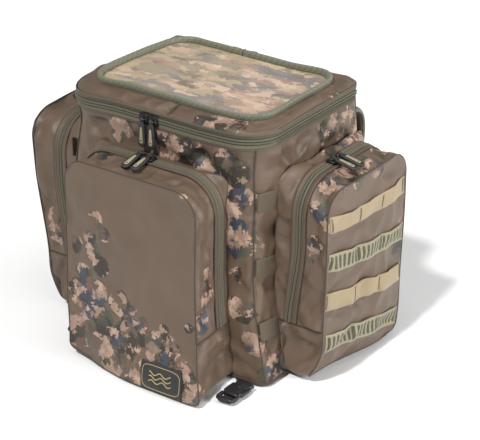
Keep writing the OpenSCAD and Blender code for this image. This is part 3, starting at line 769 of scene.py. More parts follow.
def zip_half(name, outline, place, middle, way, body, inner, node, shown=5.6):
    """One half of a zip on an outline: way is +1 or -1, to which side of the middle its tape lies. The coil
    is a half round whose height swings by 0.3 mm at every 2.4 mm of its length, beside a groove; the tape
    shows olive as far as shown from the middle."""
    line, s = even(outline, 0.6)
    off = np.array([10.0, 9.6, 8.0, 7.6, shown + 0.1, shown, 4.5, 4.0, 3.6, 3.1, 2.3, 1.5, 0.7, 0.25, 0.25,
                    10.0])
    proud = np.array([0.2, 1.7, 1.75, 1.4, 1.7, 1.1, 1.3, 0.5, 0.5, 1.7, 2.3, 2.5, 2.0, 1.1, 0.1, 0.1])
    coil = np.array([0, 0, 0, 0, 0, 0, 0, 0, 0, 0.5, 1, 1, 1, 0.5, 0, 0])
    teeth = np.cos(2 * np.pi * s / 2.4)[None] * 0.34 * coil[:, None]
    points = around(line, proud[:, None] + teeth, middle + way * off, place)
    # "gap" marks the rows that are painted dark as shade: the groove beside the coil and the middle where the
    # halves meet.
    marks = {"tape": (off <= shown)[:, None] + 0 * teeth,
             "gap": ((off == 4.0) | (off == 3.6) | (off < 0.3))[:, None] + 0 * teeth}
    fit_out(surface(name, points, (True, False), inner, marks), body, "zip_tape", zip_tape, replaces=(node,))
    face = surface(f"{name}_coil", around(line, (proud + 0.06)[9:14, None] + teeth[9:14],
                                          (middle + way * off)[9:14], place), inner=inner)
    fit_out(face, body, "zip_tape", zip_coil)
    sparse, _ = even(outline, 3.0)
    normal = flat_normals(sparse, place)
    cord = around(sparse, 1.1, middle + way * 10.3, place)[0]
    fit_out(tube(f"{name}_edge", cord, normal, 0.7), body, "zip_tape", zip_coil if shown > 6
            else dark_binding)
    seam = around(sparse, 1.6, middle + way * 8.7, place)[0]
    stitches(f"{name}_stitches", seam, normal, body, "zip_tape")


zip_half("lid_zip_lower_half", zip_line, as_is, ZIP_Z, -1, "bag", (0, 0, ZIP_Z), "lid_zip_lower", 9.5)
zip_half("lid_zip_upper_half", zip_line, as_is, ZIP_Z, 1, "lid", (0, 0, ZIP_Z), "lid_zip_upper", 9.5)

# ---------------------------------------------------------------- Tray on the lid
# A wipe-clean sheet of printed film over the cloth, inside a raised foam edge bound in olive tape whose
# ends meet at the back.
rim_binding = ribbed_cloth("rim_binding", (0.215, 0.214, 0.150), (0.084, 0.088, 0.058), 0.0034, 0.42)


def film():
    """Printed film under a clear glossy face: streaks of gold, pink, moss and blue that run along the tray,
    light hazy streaks that are partly print and partly painted sheen, with scuffs in the gloss."""
    paint = Paint("coated_film", {"Coat Roughness": 0.12, "Specular IOR Level": 0.5})
    here = paint.place()
    long = paint.vector("MULTIPLY", here, (0.60, 1.25, 1.0))
    worn = paint.vector("SUBTRACT", paint.noise(here, 170.0, 2.0, out=1), (0.5, 0.5, 0.5))
    torn = paint.node("ShaderNodeVectorMath", {"operation": "MULTIPLY_ADD"},
                      {0: worn, 1: (0.010,) * 3, 2: long})
    cell = paint.node("ShaderNodeTexVoronoi", {"distance": "MINKOWSKI"},
                      {"Vector": torn, "Scale": 150.0, "Exponent": 0.75}, out=2)
    across = paint.node("ShaderNodeSeparateXYZ", {}, {0: here})
    right = paint.math("MULTIPLY_ADD", across, 5.0, 0.5, clamp=True)
    colour = paint.mix(paint.noise(torn, 12.0, 3.0), (0.440, 0.330, 0.180), (0.200, 0.160, 0.095))
    stops = (((0.0, 0.0, 0.0), 34.0, 0.52, (0.110, 0.100, 0.056)),
             ((1.3, 0.2, 0.7), 36.0, 0.51, (0.480, 0.310, 0.225)),
             ((2.1, 0.9, 0.1), 30.0, 0.55, (0.250, 0.115, 0.100)),
             ((3.7, 0.4, 0.2), 26.0, 0.56, (0.058, 0.078, 0.120)),
             ((4.4, 0.1, 0.9), 52.0, 0.57, (0.600, 0.440, 0.320)),
             ((5.2, 0.6, 0.5), 46.0, 0.61, (0.042, 0.040, 0.028)))
    for order, (shift, scale, level, tint) in enumerate(stops):
        value = paint.noise(paint.vector("ADD", cell, shift), scale, 1.0)
        lean = level + 0.10 - 0.14 * right if order in (1, 2, 3, 4) else level
        colour = paint.mix(paint.over(value, lean, 30.0) * 0.85, colour, tint)
    # Light hazy streaks: partly the film's own print, partly painted sheen that lightens the film for its
    # gloss.
    haze_and_painted_sheen = paint.noise(long, 34.0, 4.0, 0.6)
    colour = paint.mix(haze_and_painted_sheen * 0.55, colour, (0.600, 0.480, 0.360))
    paint.feed("Base Color", colour)
    scuff = paint.noise(here, 60.0, 4.0, 0.7)
    paint.feed("Roughness", 0.30 + 0.30 * scuff)
    paint.feed("Coat Weight", 0.90 - 0.5 * scuff)
    paint.bump(paint.noise(long, 26.0, 2.0), 0.0012, 0.35)
    return paint.material


def tray_film():
    """The rim's inner outline shrinks to the middle, row by row; the film waves by half a millimetre."""
    t = np.concatenate([np.linspace(0, 0.97, 34), [1.0]])
    shrink = 1.0 - t
    half, deep = (RIM_HALF - 4.5) * shrink, (RIM_DEEP - 4.5) * shrink
    radius = 29.5 * shrink
    a, b, _, _ = rounded(half, -deep, deep, radius, radius, (30, 8, 44))
    p = np.stack([a, b + RIM_MID, LID_TOP + 1.9 + 0 * a], axis=-1)
    p[..., 2] += (0.45 * ripple(p, 60.0, 21) + 0.2 * ripple(p, 25.0, 22)) * smooth(t, 0.0, 0.15)[:, None]
    return surface("tray_film", sag(p), (False, True), (0, 0, 200), weld=True)


sheet = fit_out(thicken(tray_film(), 0.6), "lid", "coated_print", film(), replaces=("tray_sheet",))
2 * (RIM_DEEP - 4.5) * MM

rim_line, _ = even(rounded(RIM_HALF - 3.0, -RIM_DEEP + 3.0, RIM_DEEP - 3.0, 31.0, 31.0, LID_COUNTS), 1.6,
                   True)
turn = np.linspace(0, 2 * np.pi, 20, endpoint=False)
rim_out = 3.1 * np.sign(np.cos(turn)) * np.abs(np.cos(turn)) ** 0.7
rim_up = 4.9 * np.sign(np.sin(turn)) * np.abs(np.sin(turn)) ** 0.6


def on_rim(a, b, up):
    """The rim's own place: its top wanders by half a millimetre and it leans out a little."""
    wave = 0.5 * ripple(np.stack([a, b, 0 * a], axis=-1), 70.0, 31)
    lean = 1 + 0.0011 * up
    return np.stack([a * lean, b * lean + RIM_MID, LID_TOP + 4.6 + up + wave * (up > 0)], axis=-1)


rim = turn_outward(surface("tray_rim_binding", around(rim_line, rim_out, rim_up, on_rim), (True, True)))
fit_out(rim, "lid", "binding", rim_binding, replaces=("tray_rim",))
for name, proud, up in (("tray_rim_outer_stitches", 3.1, -1.2), ("tray_rim_inner_stitches", -3.1, -1.2)):
    line = around(rim_line, proud, up, on_rim)[0]
    facing = flat_normals(rim_line, on_rim) * np.sign(proud)
    stitches(name, line, facing, "lid", "binding")
lap_line = [v[:, np.abs(rim_line[0][0] + 14) + 200 * (rim_line[1][0] < 0) < 7] for v in rim_line]
lap = surface("tray_rim_lap", around(lap_line, rim_out * 1.16, rim_up * 1.09, on_rim), (True, False),
              (-14, 90, 347))
fit_out(lap, "lid", "binding", rim_binding)
lap_edge = around([v[:, :1] for v in lap_line], rim_out * 1.2, rim_up * 1.12, on_rim)[:, 0]
fit_out(tube("tray_rim_lap_edge", lap_edge, np.array([1.0, 0.0, 0.0]), 0.7, True), "lid", "binding",
        dark_binding)

# ---------------------------------------------------------------- Front pocket
# A box pocket sewn to the front wall: a gusset with the zip round it, a padded front panel piped into the
# gusset, and a fixed tub under the zip. Its front folds down at the level of the seam over the tub.


FOLD_LOW, FOLD_HIGH = 0.070, 0.092         # heights between which a pocket's front bends, in metres


class Pocket:
    """The sizes of one pocket in its own plane: half, low and high bound the panel across and up, deep is
    how far it stands out, zip_off and split place the zip and the fold, and place puts it on the bag."""

    def __init__(self, name, place, half, low, high, deep, zip_off, split, swell, slack, inner):
        self.name, self.place, self.half, self.low, self.high = name, place, half, low, high
        self.deep, self.zip_off, self.split, self.inner = deep, zip_off, split, inner
        self.swell, self.slack, self.folds, self.spots, self.bend = swell, slack, (), (), ()

    def radius(self, depth):
        """Corner radius: 12 mm where the pocket meets the bag, 46 along its zip and 34 at the front seam."""
        return 12.0 + 34.0 * smooth(depth, 0, self.zip_off - TAPE) - 12.0 * smooth(depth, self.zip_off + TAPE,
                self.deep)

    def bulge(self, a, b):
        """How far the panel's padding lifts it: a product of rounded humps, soft ripples and folds."""
        u = np.clip(1 - (np.abs(a) / self.half) ** 2.4, 0, 1)
        v = np.clip(np.sin(np.pi * np.clip((b - self.low) / (self.high - self.low), 0, 1)), 0, 1)
        p = np.stack([a, np.zeros_like(a), b], axis=-1)
        hump = u**0.7 * v**0.55
        loose = np.clip(8 * u, 0, 1) * np.clip(6 * v, 0, 1)
        seed = len(self.name)
        rough = 1.2 * ripple(p, 80.0, seed) + 0.5 * ripple(p, 32.0, seed + 9) + self.slack * crumple(p, 52.0,
                seed + 5)
        return self.swell * hump + loose * (rough + folds(p, *self.folds))

    def face(self, a, b, proud=0.0):
        """Points on the padded front panel, lifted by proud."""
        a, b = np.asarray(a, float), np.asarray(b, float)
        return sag(self.place(a, b, self.deep + self.bulge(a, b) + proud))

    def face_normal(self, a, b):
        """Outward direction of the panel there, from its two slopes."""
        n = np.cross(self.face(a + 1, b) - self.face(a - 1, b), self.face(a, b + 1) - self.face(a, b - 1))
        n = n / np.linalg.norm(n, axis=-1, keepdims=True)
        out = self.place(a, b, 1.0 + 0 * a) - self.place(a, b, 0 * a)
        return n * np.sign((n * out).sum(axis=-1, keepdims=True))


def gusset(pocket, name, outline_at, start, end, body, slot, seed):
    """A gusset from depth start to end: outlines as rows, with ripples that fade at its seams."""
    depth = np.linspace(start, end, max(5, int((end - start) / 2.2)))
    a, b, na, nb = outline_at(depth)
    p = pocket.place(a, b, depth[:, None] + 0 * a)
    free = (smooth(depth, start, start + 7) * smooth(-depth, -end, -end + 7))[:, None]
    free = free * smooth(np.abs(b - pocket.split), 0.0, 6.0)
    swell = (1.6 * ripple(p, 48.0, seed) + 0.8 * ripple(p, 20.0, seed + 1) + 1.7 *
             crumple(p, 38.0, seed + 2)) * free
    swell += free * folds(p, *pocket.bend)
    points = sag(pocket.place(a + na * swell, b + nb * swell, depth[:, None] + 0 * a))
    cover = patches(p, *pocket.spots)
    piece = thicken(surface(name, points, inner=pocket.inner, keep={"print": cover}), 2.4, 1)
    return fit_out(piece, body, slot, camo_cloth, lining)


def make_pocket(pocket, nodes, flap, bend_at, panel_slot):
    """All the sewn parts of a pocket: fixed gusset and tub on the bag, moving gusset on the flap, and the
    front panel with its piped seam, which lie across the fold."""
    half, low, high, split, zip_at = pocket.half, pocket.low, pocket.high, pocket.split, pocket.zip_off
    counts = (70, 14, 80)

    def arch(depth):
        return rounded(half, split, high, pocket.radius(depth), counts=counts)

    def cradle(depth):
        a, b, na, nb = rounded(half, -split, -low, 9.0 + 0 * depth, counts=(30, 8, 80))
        return a, -b, na, -nb

    gusset(pocket, f"{pocket.name}_rear_gusset", arch, 0.0, zip_at - TAPE + 1, "bag", "brown_fabric", 41)
    gusset(pocket, f"{pocket.name}_tub", cradle, 0.0, pocket.deep, "bag", "brown_fabric", 43)
    gusset(pocket, f"{pocket.name}_front_gusset", arch, zip_at + TAPE - 1, pocket.deep, flap, "brown_fabric",
           45)
    start = [split + 2.0]
    zip_arch = rounded(half, start, high, pocket.radius(np.array([zip_at])), counts=counts)
    zip_half(f"{pocket.name}_zip_inner_half", zip_arch, pocket.place, zip_at, -1, "bag", pocket.inner,
             nodes[0])
    zip_half(f"{pocket.name}_zip_outer_half", zip_arch, pocket.place, zip_at, 1, flap, pocket.inner, nodes[1])

    r_top, r_foot = float(pocket.radius(np.array([pocket.deep]))[0]), 9.0
    q = np.linspace(0, np.pi / 2, 14)
    rows = np.concatenate([low + r_foot * (1 - np.cos(q[:-1:2])),
                           np.linspace(low + r_foot, high - r_top, 130)[:-1], high - r_top + r_top *
                           np.sin(q)])
    foot, top = np.clip((low + r_foot - rows) / r_foot, 0, 1), np.clip((rows - high + r_top) / r_top, 0, 1)
    wide = half - r_foot * (1 - np.sqrt(1 - foot**2)) - r_top * (1 - np.sqrt(1 - top**2))
    u = np.sin(np.linspace(-np.pi / 2, np.pi / 2, 150)) * 0.35 + np.linspace(-1, 1, 150) * 0.65
    a, b = u[None] * wide[:, None], rows[:, None] + 0 * u[None]
    points = pocket.face(a, b)
    cover = patches(pocket.place(a, b, pocket.deep + 0 * a), *pocket.spots)
    panel = thicken(surface(f"{pocket.name}_panel", points, inner=pocket.inner, keep={"print": cover}), 2.4,
                    1)
    across_fold = ("bag", flap, (*bend_at, FOLD_LOW), (*bend_at, FOLD_HIGH))
    fit_out(panel, across_fold, panel_slot, camo_cloth, lining, replaces=nodes[2:])
    seam_line, _ = even(rounded(half, low, high, r_top, r_foot, (70, 14, 80)), 2.6, True)
    fit_out(tube(f"{pocket.name}_piping", around(seam_line, 0.5, pocket.deep - 0.3, pocket.place)[0],
                 flat_normals(seam_line, pocket.place), 0.95, True), across_fold, "brown_fabric",
            dark_binding)
    for side in (-1, 1):
        depth = np.linspace(2.0, pocket.deep - 2, 24)
        line = sag(pocket.place(side * (half + 0.4) + 0 * depth, split + 0 * depth, depth))
        out = pocket.place(side * (half + 1) + 0 * depth, split + 0 * depth, depth) - pocket.place(
            side * half + 0 * depth, split + 0 * depth, depth)
        end = "left" if side < 0 else "right"
        fit_out(tube(f"{pocket.name}_{end}_fold_seam", line, out, 0.6), "bag", "brown_fabric", dark_binding)
        low_line = sag(pocket.place(side * (half + 0.1) + 0 * depth, split - 3.2 + 0 * depth, depth))
        stitches(f"{pocket.name}_{end}_fold_stitches", low_line, out, "bag", "brown_fabric")


def on_front(a, b, depth):
    return np.stack([a, -BODY_FRONT - depth, b], axis=-1)


flap_low, flap_high = node_box("front_flap")
FRONT_DEEP = -BODY_FRONT - flap_low[1]
front_pocket = Pocket("front_pocket", on_front, flap_high[0], 3.0, flap_high[2], FRONT_DEEP,
                      -BODY_FRONT - (node_box("front_zip_inner")[0][1] - 0.15), flap_low[2] - 0.3, 4.0, 0.9,
                      (0, -150, 140))
front_pocket.folds = (((106, 0, 66), (40, 0, 60), -3.4, 8), ((104, 0, 50), (60, 0, 44), 2.6, 8),
                      ((-104, 0, 90), (-50, 0, 40), -2.2, 9), ((100, 0, 20), (70, 0, 40), -2.0, 8),
                      ((-100, 0, 30), (-60, 0, 12), -2.4, 8), ((-20, 0, 8), (20, 0, 30), 1.6, 9),
                      ((90, 0, 230), (104, 0, 180), -1.6, 10), ((-104, 0, 230), (-90, 0, 150), -1.8, 9))
front_pocket.bend = (((106, -186, 92), (106, -150, 120), -5.1, 7),
                     ((106, -186, 215), (106, -142, 200), -2.7, 8),
                     ((106, -180, 60), (106, -130, 70), 4.1, 8), ((106, -176, 30), (106, -124, 44), -5.8, 8),
                     ((-60, -180, 280), (-40, -145, 280), -3.4, 7),
                     ((50, -184, 280), (70, -145, 280), -3.7, 7), ((96, -184, 262), (92, -146, 268), -4.1, 6),
                     ((-106, -184, 200), (-106, -140, 180), -3.4, 8))
front_pocket.spots = ((-50, -187, 208, 17, 1.0), (-34, -187, 192, 14, 1.0), (-60, -187, 182, 16, 0.95),
                      (-56, -187, 164, 18, 1.0), (-84, -187, 164, 18, 0.8), (-42, -187, 146, 18, 1.0),
                      (-72, -187, 128, 20, 0.9), (-46, -187, 108, 22, 1.0), (-84, -187, 96, 26, 1.0),
                      (-12, -187, 102, 22, 1.0), (-50, -187, 68, 34, 1.0), (8, -187, 100, 14, 0.8),
                      (30, -187, 88, 12, 0.85), (62, -187, 90, 10, 0.85), (14, -187, 64, 32, 1.0),
                      (58, -187, 60, 32, 1.0), (0, -187, 26, 56, 1.0), (80, -187, 30, 36, 1.0),
                      (-90, -187, 40, 36, 1.0), (94, -187, 100, 10, 0.7), (88, -187, 276, 8, 0.8),
                      (106, -158, 164, 12, 0.9), (106, -164, 138, 20, 1.0), (106, -170, 104, 20, 1.0),
                      (-64, -140, 280, 24, 1.0), (-30, -128, 280, 22, 0.6), (-106, -150, 240, 30, 0.6),
                      (-106, -150, 60, 40, 0.9), (-106, -180, 30, 30, 0.9))
make_pocket(front_pocket, ("front_zip_inner", "front_zip_outer", "front_flap", "front_pocket_gusset"),
                          "front_flap", (0, -0.187), "camo_fabric")

# ---------------------------------------------------------------- Badge
# A woven patch of black satin with a raised gold frame and a plain mark of three waves, stitched on all
# four sides low on the front pocket.
badge_low, badge_high = node_box("badge")
satin = ribbed_cloth("badge_satin", (0.030, 0.031, 0.034), (0.012, 0.012, 0.013), 0.0008, 0.42)
gold_thread = ribbed_cloth("gold_thread", (0.560, 0.440, 0.200), (0.300, 0.220, 0.090), 0.0007, 0.45)
BADGE_X, BADGE_Z = (badge_low[0] + badge_high[0]) / 2 - 1, (badge_low[2] + badge_high[2]) / 2 - 8
BADGE_W, BADGE_H = 27.0, 19.0


def on_badge(x, y, lift):
    """A point of the patch, lifted off the pocket's panel."""
    return front_pocket.face(BADGE_X + np.asarray(x, float), BADGE_Z + np.asarray(y, float), lift)


bx, by = np.meshgrid(np.linspace(-BADGE_W, BADGE_W, 30), np.linspace(-BADGE_H, BADGE_H, 22))
patch = thicken(surface("badge_patch", on_badge(bx, by, 1.5), inner=front_pocket.inner), 1.3)
fit_out(patch, "bag", "badge", satin, replaces=("badge",))


def raised(name, x, y, radius):
    """A line of gold thread on the patch through points x, y."""
    line = on_badge(x, y, 1.7)
    return fit_out(tube(name, line, np.array([0.0, -1.0, 0.0]), radius, sides=6), "bag", "badge", gold_thread)


t = np.linspace(0, 1, 60)
for k, level in enumerate((-5.5, 0.0, 5.5)):
    raised(f"badge_wave_{k + 1}", -14 + 28 * t, level + 2.0 * np.sin(2 * np.pi * (2 * t + 0.12 * k)), 0.75)
ring = 2 * np.pi * np.linspace(0, 1, 90)
raised("badge_frame", (BADGE_W - 3) * np.sign(np.cos(ring)) * np.abs(np.cos(ring)) ** 0.35,
       (BADGE_H - 3) * np.sign(np.sin(ring)) * np.abs(np.sin(ring)) ** 0.35, 0.5)
edge = np.linspace(-1, 1, 40)
for k, (x, y) in enumerate(((edge, 1 + 0 * edge), (edge, -1 + 0 * edge), (1 + 0 * edge, edge),
                            (-1 + 0 * edge, edge))):
    x, y = x * (BADGE_W - 1.2), y * (BADGE_H - 1.2)
    stitches(f"badge_stitches_{k + 1}", on_badge(x, y, 1.5),
             front_pocket.face_normal(BADGE_X + x, BADGE_Z + y), "bag", "badge", satin, 2.0, 0.9, 0.3)

# ---------------------------------------------------------------- Side pockets
# The same kind of pocket on each side, deeper and without a badge. Rows of webbing run across the outer
# panel, bar-tacked into cells: plain tan webbing in two rows and ribbed olive webbing in two.
side_low, side_high = node_box("right_flap")
SIDE_MID, SIDE_HALF = (side_low[1] + side_high[1]) / 2, (side_high[1] - side_low[1]) / 2
SIDE_DEEP = side_high[0] - BODY_HALF
SIDE_ZIP = node_box("right_zip_inner")[1][0] + 0.15 - BODY_HALF
SIDE_SPLIT, SIDE_TOP = side_low[2] - 0.3, side_high[2]
SIDE_FOOT = node_box("right_pocket_gusset")[0][2]


LEFT_FORWARD = 22.0


def on_right(a, b, depth):
    return np.stack([BODY_HALF + depth, SIDE_MID + a, b], axis=-1)


def on_left(a, b, depth):
    """The left pocket sits further forward along its front seam, by LEFT_FORWARD."""
    forward = LEFT_FORWARD * smooth(-a, -20.0, SIDE_HALF)
    return np.stack([-BODY_HALF - depth, SIDE_MID + a - forward, b], axis=-1)


def side_pocket(word, place, x):
    """One side pocket with its own drawn folds and spots of print; x is 1 on the right and -1 on the left."""
    nodes = [f"{word}_{part}" for part in ("zip_inner", "zip_outer", "flap", "pocket_gusset")]
    pocket = Pocket(f"{word}_pocket", place, SIDE_HALF, SIDE_FOOT, SIDE_TOP, SIDE_DEEP, SIDE_ZIP, SIDE_SPLIT,
                    2.4, 2.2, (x * 190, 18, 150))
    pocket.folds = (((-88, 0, 40), (-30, 0, 60), -4.1, 8), ((-86, 0, 130), (-20, 0, 150), -3.7, 9),
                    ((-80, 0, 212), (0, 0, 208), -4.4, 7), ((-84, 0, 262), (-30, 0, 236), 3.4, 9),
                    ((20, 0, 262), (84, 0, 246), -4.4, 8), ((-80, 0, 98), (20, 0, 88), -4.1, 7),
                    ((10, 0, 156), (84, 0, 146), -3.4, 7), ((-70, 0, 22), (30, 0, 40), 4.1, 9),
                    ((30, 0, 44), (86, 0, 20), -3.7, 8))
    side = x * (BODY_HALF + 40)
    pocket.bend = (((x * 200, -72, 230), (x * 222, -72, 190), -3.1, 7),
                   ((x * 196, -72, 60), (x * 222, -72, 40), -4.1, 8),
                   ((side, -72, 110), (x * 215, -72, 90), 3.7, 8),
                   ((x * 196, 10, 276), (x * 222, -10, 276), -6.1, 8),
                   ((x * 196, 44, 276), (x * 224, 34, 276), 5.1, 8),
                   ((x * 198, 74, 276), (x * 224, 66, 276), -5.4, 8),
                   ((x * 160, -60, 272), (x * 170, -30, 276), -4.1, 6),
                   ((x * 158, 20, 276), (x * 170, 60, 276), 4.1, 8),
                   ((x * 198, -50, 268), (x * 220, -30, 276), -4.4, 7))
    if x > 0:
        pocket.spots = ((208, -72, 252, 20, 0.9), (216, -68, 232, 18, 0.7), (206, -72, 200, 18, 0.9),
                        (196, -72, 178, 14, 0.7), (190, -72, 148, 12, 0.8), (210, -50, 276, 30, 1.0),
                        (205, -10, 276, 30, 1.0), (214, 34, 276, 24, 1.0), (160, 60, 276, 26, 1.0),
                        (156, 98, 276, 26, 1.0), (196, 84, 276, 26, 1.0), (200, 108, 150, 50, 0.8),
                        (160, 20, 276, 16, 0.8))
    else:
        pocket.spots = ((-206, -92, 132, 18, 1.0), (-208, -92, 108, 20, 0.95), (-160, -72, 60, 26, 0.9),
                        (-205, 40, 276, 30, 0.8), (-200, 108, 150, 50, 0.8), (-190, 60, 10, 60, 0.8))
    make_pocket(pocket, nodes, f"{word}_flap", (x * 0.227, 0), "brown_fabric")
    return pocket


right_pocket, left_pocket = side_pocket("right", on_right, 1), side_pocket("left", on_left, -1)

tan_webbing = ribbed_cloth("tan_webbing", (0.420, 0.330, 0.200), (0.230, 0.172, 0.098), 0.0015, 0.55)


def ladder_webbing():
    """Webbing with pale selvedges and dark olive rungs every 8 mm, as bars across its middle."""
    paint = Paint("ladder_webbing", {"Specular IOR Level": 0.35, "Sheen Weight": 0.15})
    here = paint.place()
    rung, thread_noise = paint.value("rung"), paint.noise(here, 500.0, 2.0)
    u, v = paint.uv()
    rib = paint.math("SINE", (u + v) * (2 * math.pi / 0.0016)) * 0.5 + 0.5
    pale = paint.mix(0.5 * rib + 0.3 * thread_noise, (0.185, 0.165, 0.098), (0.370, 0.325, 0.215))
    dark = paint.mix(0.5 * rib + 0.3 * thread_noise, (0.040, 0.042, 0.022), (0.092, 0.092, 0.050))
    paint.feed("Base Color", paint.mix(paint.over(rung, 0.26, 6.0), pale, dark))
    paint.feed("Roughness", 0.58 + 0.2 * thread_noise)
    paint.bump(0.5 * rib + 0.5 * thread_noise, 0.0002, 0.6)
    return paint.material


olive_webbing = ladder_webbing()
tack_thread = ribbed_cloth("tack_thread", (0.050, 0.040, 0.030), (0.020, 0.016, 0.012), 0.0006)
ROW_LOW, ROW_WIDE = node_box("right_foot_webbing")[0][2], 25.0
ROW_PITCH = node_box("right_plain_webbing")[0][2] - ROW_LOW
ROW_SPAN = SIDE_HALF - 3.0
TACKS = np.array([-ROW_SPAN + 3, -(SIDE_HALF - 8) / 3, (SIDE_HALF - 8) / 3, ROW_SPAN - 3])


def webbing_rows(pocket, side, flap):
    """Each row is a strip over the panel that bows out between bar tacks by 3.4 sin(pi t)^0.7; the
    ribbed rows also rise at each rung. The foot row stays on the tub, the others fold with the flap."""
    a = np.linspace(-ROW_SPAN, ROW_SPAN, 260)
    cell = np.interp(a, TACKS, np.arange(4.0)) % 1.0
    bow = np.where((a > TACKS[0]) & (a < TACKS[-1]), np.abs(np.sin(np.pi * cell)) ** 0.7, 0.0)
    for level, kind in enumerate(("foot", "low_plain", "ribbed", "high_plain")):
        ribbed, body = level in (0, 2), "bag" if level == 0 else flap
        slack = np.random.default_rng(70 + level).uniform(0.5, 1.0, 3)[np.clip(np.floor(
            np.interp(a, TACKS, np.arange(4.0))).astype(int), 0, 2)]
        v = np.linspace(0, 1, 14)[:, None]
        rung = np.cos(2 * np.pi * a / 8.2)[None] * 0.5 + 0.5
        inside = smooth(v, 0.10, 0.20) * smooth(-v, -0.90, -0.80)
        fall = (a / ROW_SPAN * 0.5 + 0.5) * ((34.0, 25.0, 22.0, 12.0)[level] if pocket is right_pocket
                                             else 6.0)
        droop = -1.2 * np.sin(np.pi * (a / ROW_SPAN * 0.5 + 0.5)) * (level - 1) - fall
        b = ROW_LOW + level * ROW_PITCH + ROW_WIDE * v + droop[None] + 0.5 * ripple(
            np.stack([a, 0 * a, 0 * a + level], axis=-1), 60.0, 80 + level)[None]
        lift = 1.0 + 3.0 * (bow * slack)[None] * (0.75 + 0.25 * v) + (0.45 * rung * inside if ribbed else 0.0)
        points = pocket.face(a[None] + 0 * v, b, lift)
        name = f"{side}_{kind}_webbing"
        strip = surface(name, points, inner=pocket.inner, keep={"rung": inside * rung} if ribbed else None)
        thicken(strip, 1.5)
        node = {0: (f"{side}_foot_webbing",), 2: (f"{side}_ribbed_webbing",),
                3: (f"{side}_plain_webbing",)}.get(level, ())
        fit_out(strip, body, "olive_webbing" if ribbed else "tan_webbing",
                olive_webbing if ribbed else tan_webbing, replaces=node)
        for k, tack in enumerate(TACKS):
            for n, shift in enumerate((-0.7, 0.7)):
                bb = np.linspace(np.interp(tack, a, b[0]) + 2.0, np.interp(tack, a, b[-1]) - 2.0, 30)
                aa = tack + shift + 0.45 * (-1.0) ** np.arange(30)
                line = pocket.face(aa, bb, 1.25)
                stitches(f"{name}_tack_{k + 1}_{n + 1}", line, pocket.face_normal(aa, bb), body,
                         "tan_webbing", tack_thread, 1.4, 0.3, 0.28)


webbing_rows(right_pocket, "right", "right_flap")
webbing_rows(left_pocket, "left", "left_flap")

# ---------------------------------------------------------------- Corner loops
# Three short webbing loops on each front corner of the main compartment, sewn in at the corner's seam and
# at the side pocket's root, each a little slack.


def corner_loops(side, word, forward):
    """Each loop is a strip from the corner seam back to the pocket: flat at both ends, bowed 2 mm between."""
    loop_low, loop_high = node_box(f"{word}_corner_loops")
    ends = [loop_low[1] - 4, loop_high[1] + 2 - forward]
    y, t = np.linspace(*ends, 30)[None], np.linspace(0, 1, 30)[None]
    for k, z0 in enumerate((loop_low[2] - 9, loop_low[2] + 78, loop_high[2] - 36)):
        v = np.linspace(0, 1, 12)[:, None]
        bow = 2.2 * np.sin(np.pi * t) ** 0.8 * (0.7 + 0.3 * v)
        z = z0 + 25 * v + 1.2 * np.sin(2.4 * t + k) - 6.0 * t
        p = np.stack([side * (BODY_HALF + 1.6 + bow), y + 0 * v, z], axis=-1)
        strip = thicken(surface(f"{word}_corner_loop_{k + 1}", sag(p), inner=(0, 0, z0)), 1.5)
        fit_out(strip, "bag", "tan_webbing", loop_webbing, replaces=(f"{word}_corner_loops",) if k == 0
                else ())


# Painted shade: the loops' olive-tan is darkened further for the shade they sit in beside the side pockets.
loop_webbing = ribbed_cloth("loop_webbing", (0.130, 0.102, 0.060), (0.060, 0.046, 0.027), 0.0015, 0.6)
corner_loops(1, "right", 0.0)
corner_loops(-1, "left", LEFT_FORWARD)

# ---------------------------------------------------------------- Sliders and pulls
# Black enamelled zinc sliders with a bridge, each with a moulded rubber pull: a ring round the bridge's bar,
# a waisted neck and a tab that widens to a round end with a champagne insert, ribbed, and a small hole.


def enamel():
    paint = Paint("black_enamel", {"Specular IOR Level": 0.6, "Metallic": 0.4})
    here = paint.place()
    fine, wide = paint.noise(here, 900.0, 3.0), paint.noise(here, 120.0, 2.0)
    paint.feed("Base Color", paint.mix(paint.over(wide, 0.62, 8.0), (0.014, 0.014, 0.015),
                                       (0.060, 0.058, 0.055)))
    paint.feed("Roughness", 0.26 + 0.22 * fine)
    paint.bump(fine, 0.0001, 0.3)
    return paint.material


def moulded(name, low, high, gloss=0.42):
    """Moulded rubber or plastic: fine grain, a soft sheen and dusty handling marks."""
    paint = Paint(name, {"Specular IOR Level": 0.45})
    here = paint.place()
    grain, dust = paint.noise(here, 1500.0, 2.0), paint.noise(here, 90.0, 3.0)
    paint.feed("Base Color", paint.mix(dust, low, high))
    paint.feed("Roughness", gloss + 0.22 * dust)
    paint.bump(grain, 0.0001, 0.35)
    return paint.material


slider_enamel, pull_rubber = enamel(), moulded("pull_rubber", (0.014, 0.014, 0.015), (0.038, 0.037, 0.036))
insert_gold = moulded("pull_insert", (0.200, 0.168, 0.105), (0.420, 0.360, 0.240), 0.35)
black_plastic = moulded("black_plastic", (0.007, 0.007, 0.008), (0.020, 0.020, 0.021), 0.30)


def slab(name, sections, place):
    """A closed solid of rings along Y: each section (y, half width, half height, z) is a superellipse
    |x/w|^3 + |z/h|^3 = 1, and the first and last close to a point."""
    y, w, h, z = (np.array(v, float)[:, None] for v in zip(*sections))
    turn = np.linspace(0, 2 * np.pi, 20, endpoint=False)[None]
    c, s = np.cos(turn), np.sin(turn)
    x = w * np.sign(c) * np.abs(c) ** (2 / 3)
    up = z + h * np.sign(s) * np.abs(s) ** (2 / 3)
    p = np.stack([x, y + 0 * turn, up], axis=-1)
    p = np.concatenate([p[:1].mean(axis=1, keepdims=True) + 0 * p[:1], p, p[-1:].mean(axis=1, keepdims=True) +
                        0 * p[-1:]])
    q = place(p)
    return surface(name, q, (False, True), q.reshape(-1, 3).mean(axis=0), weld=True)


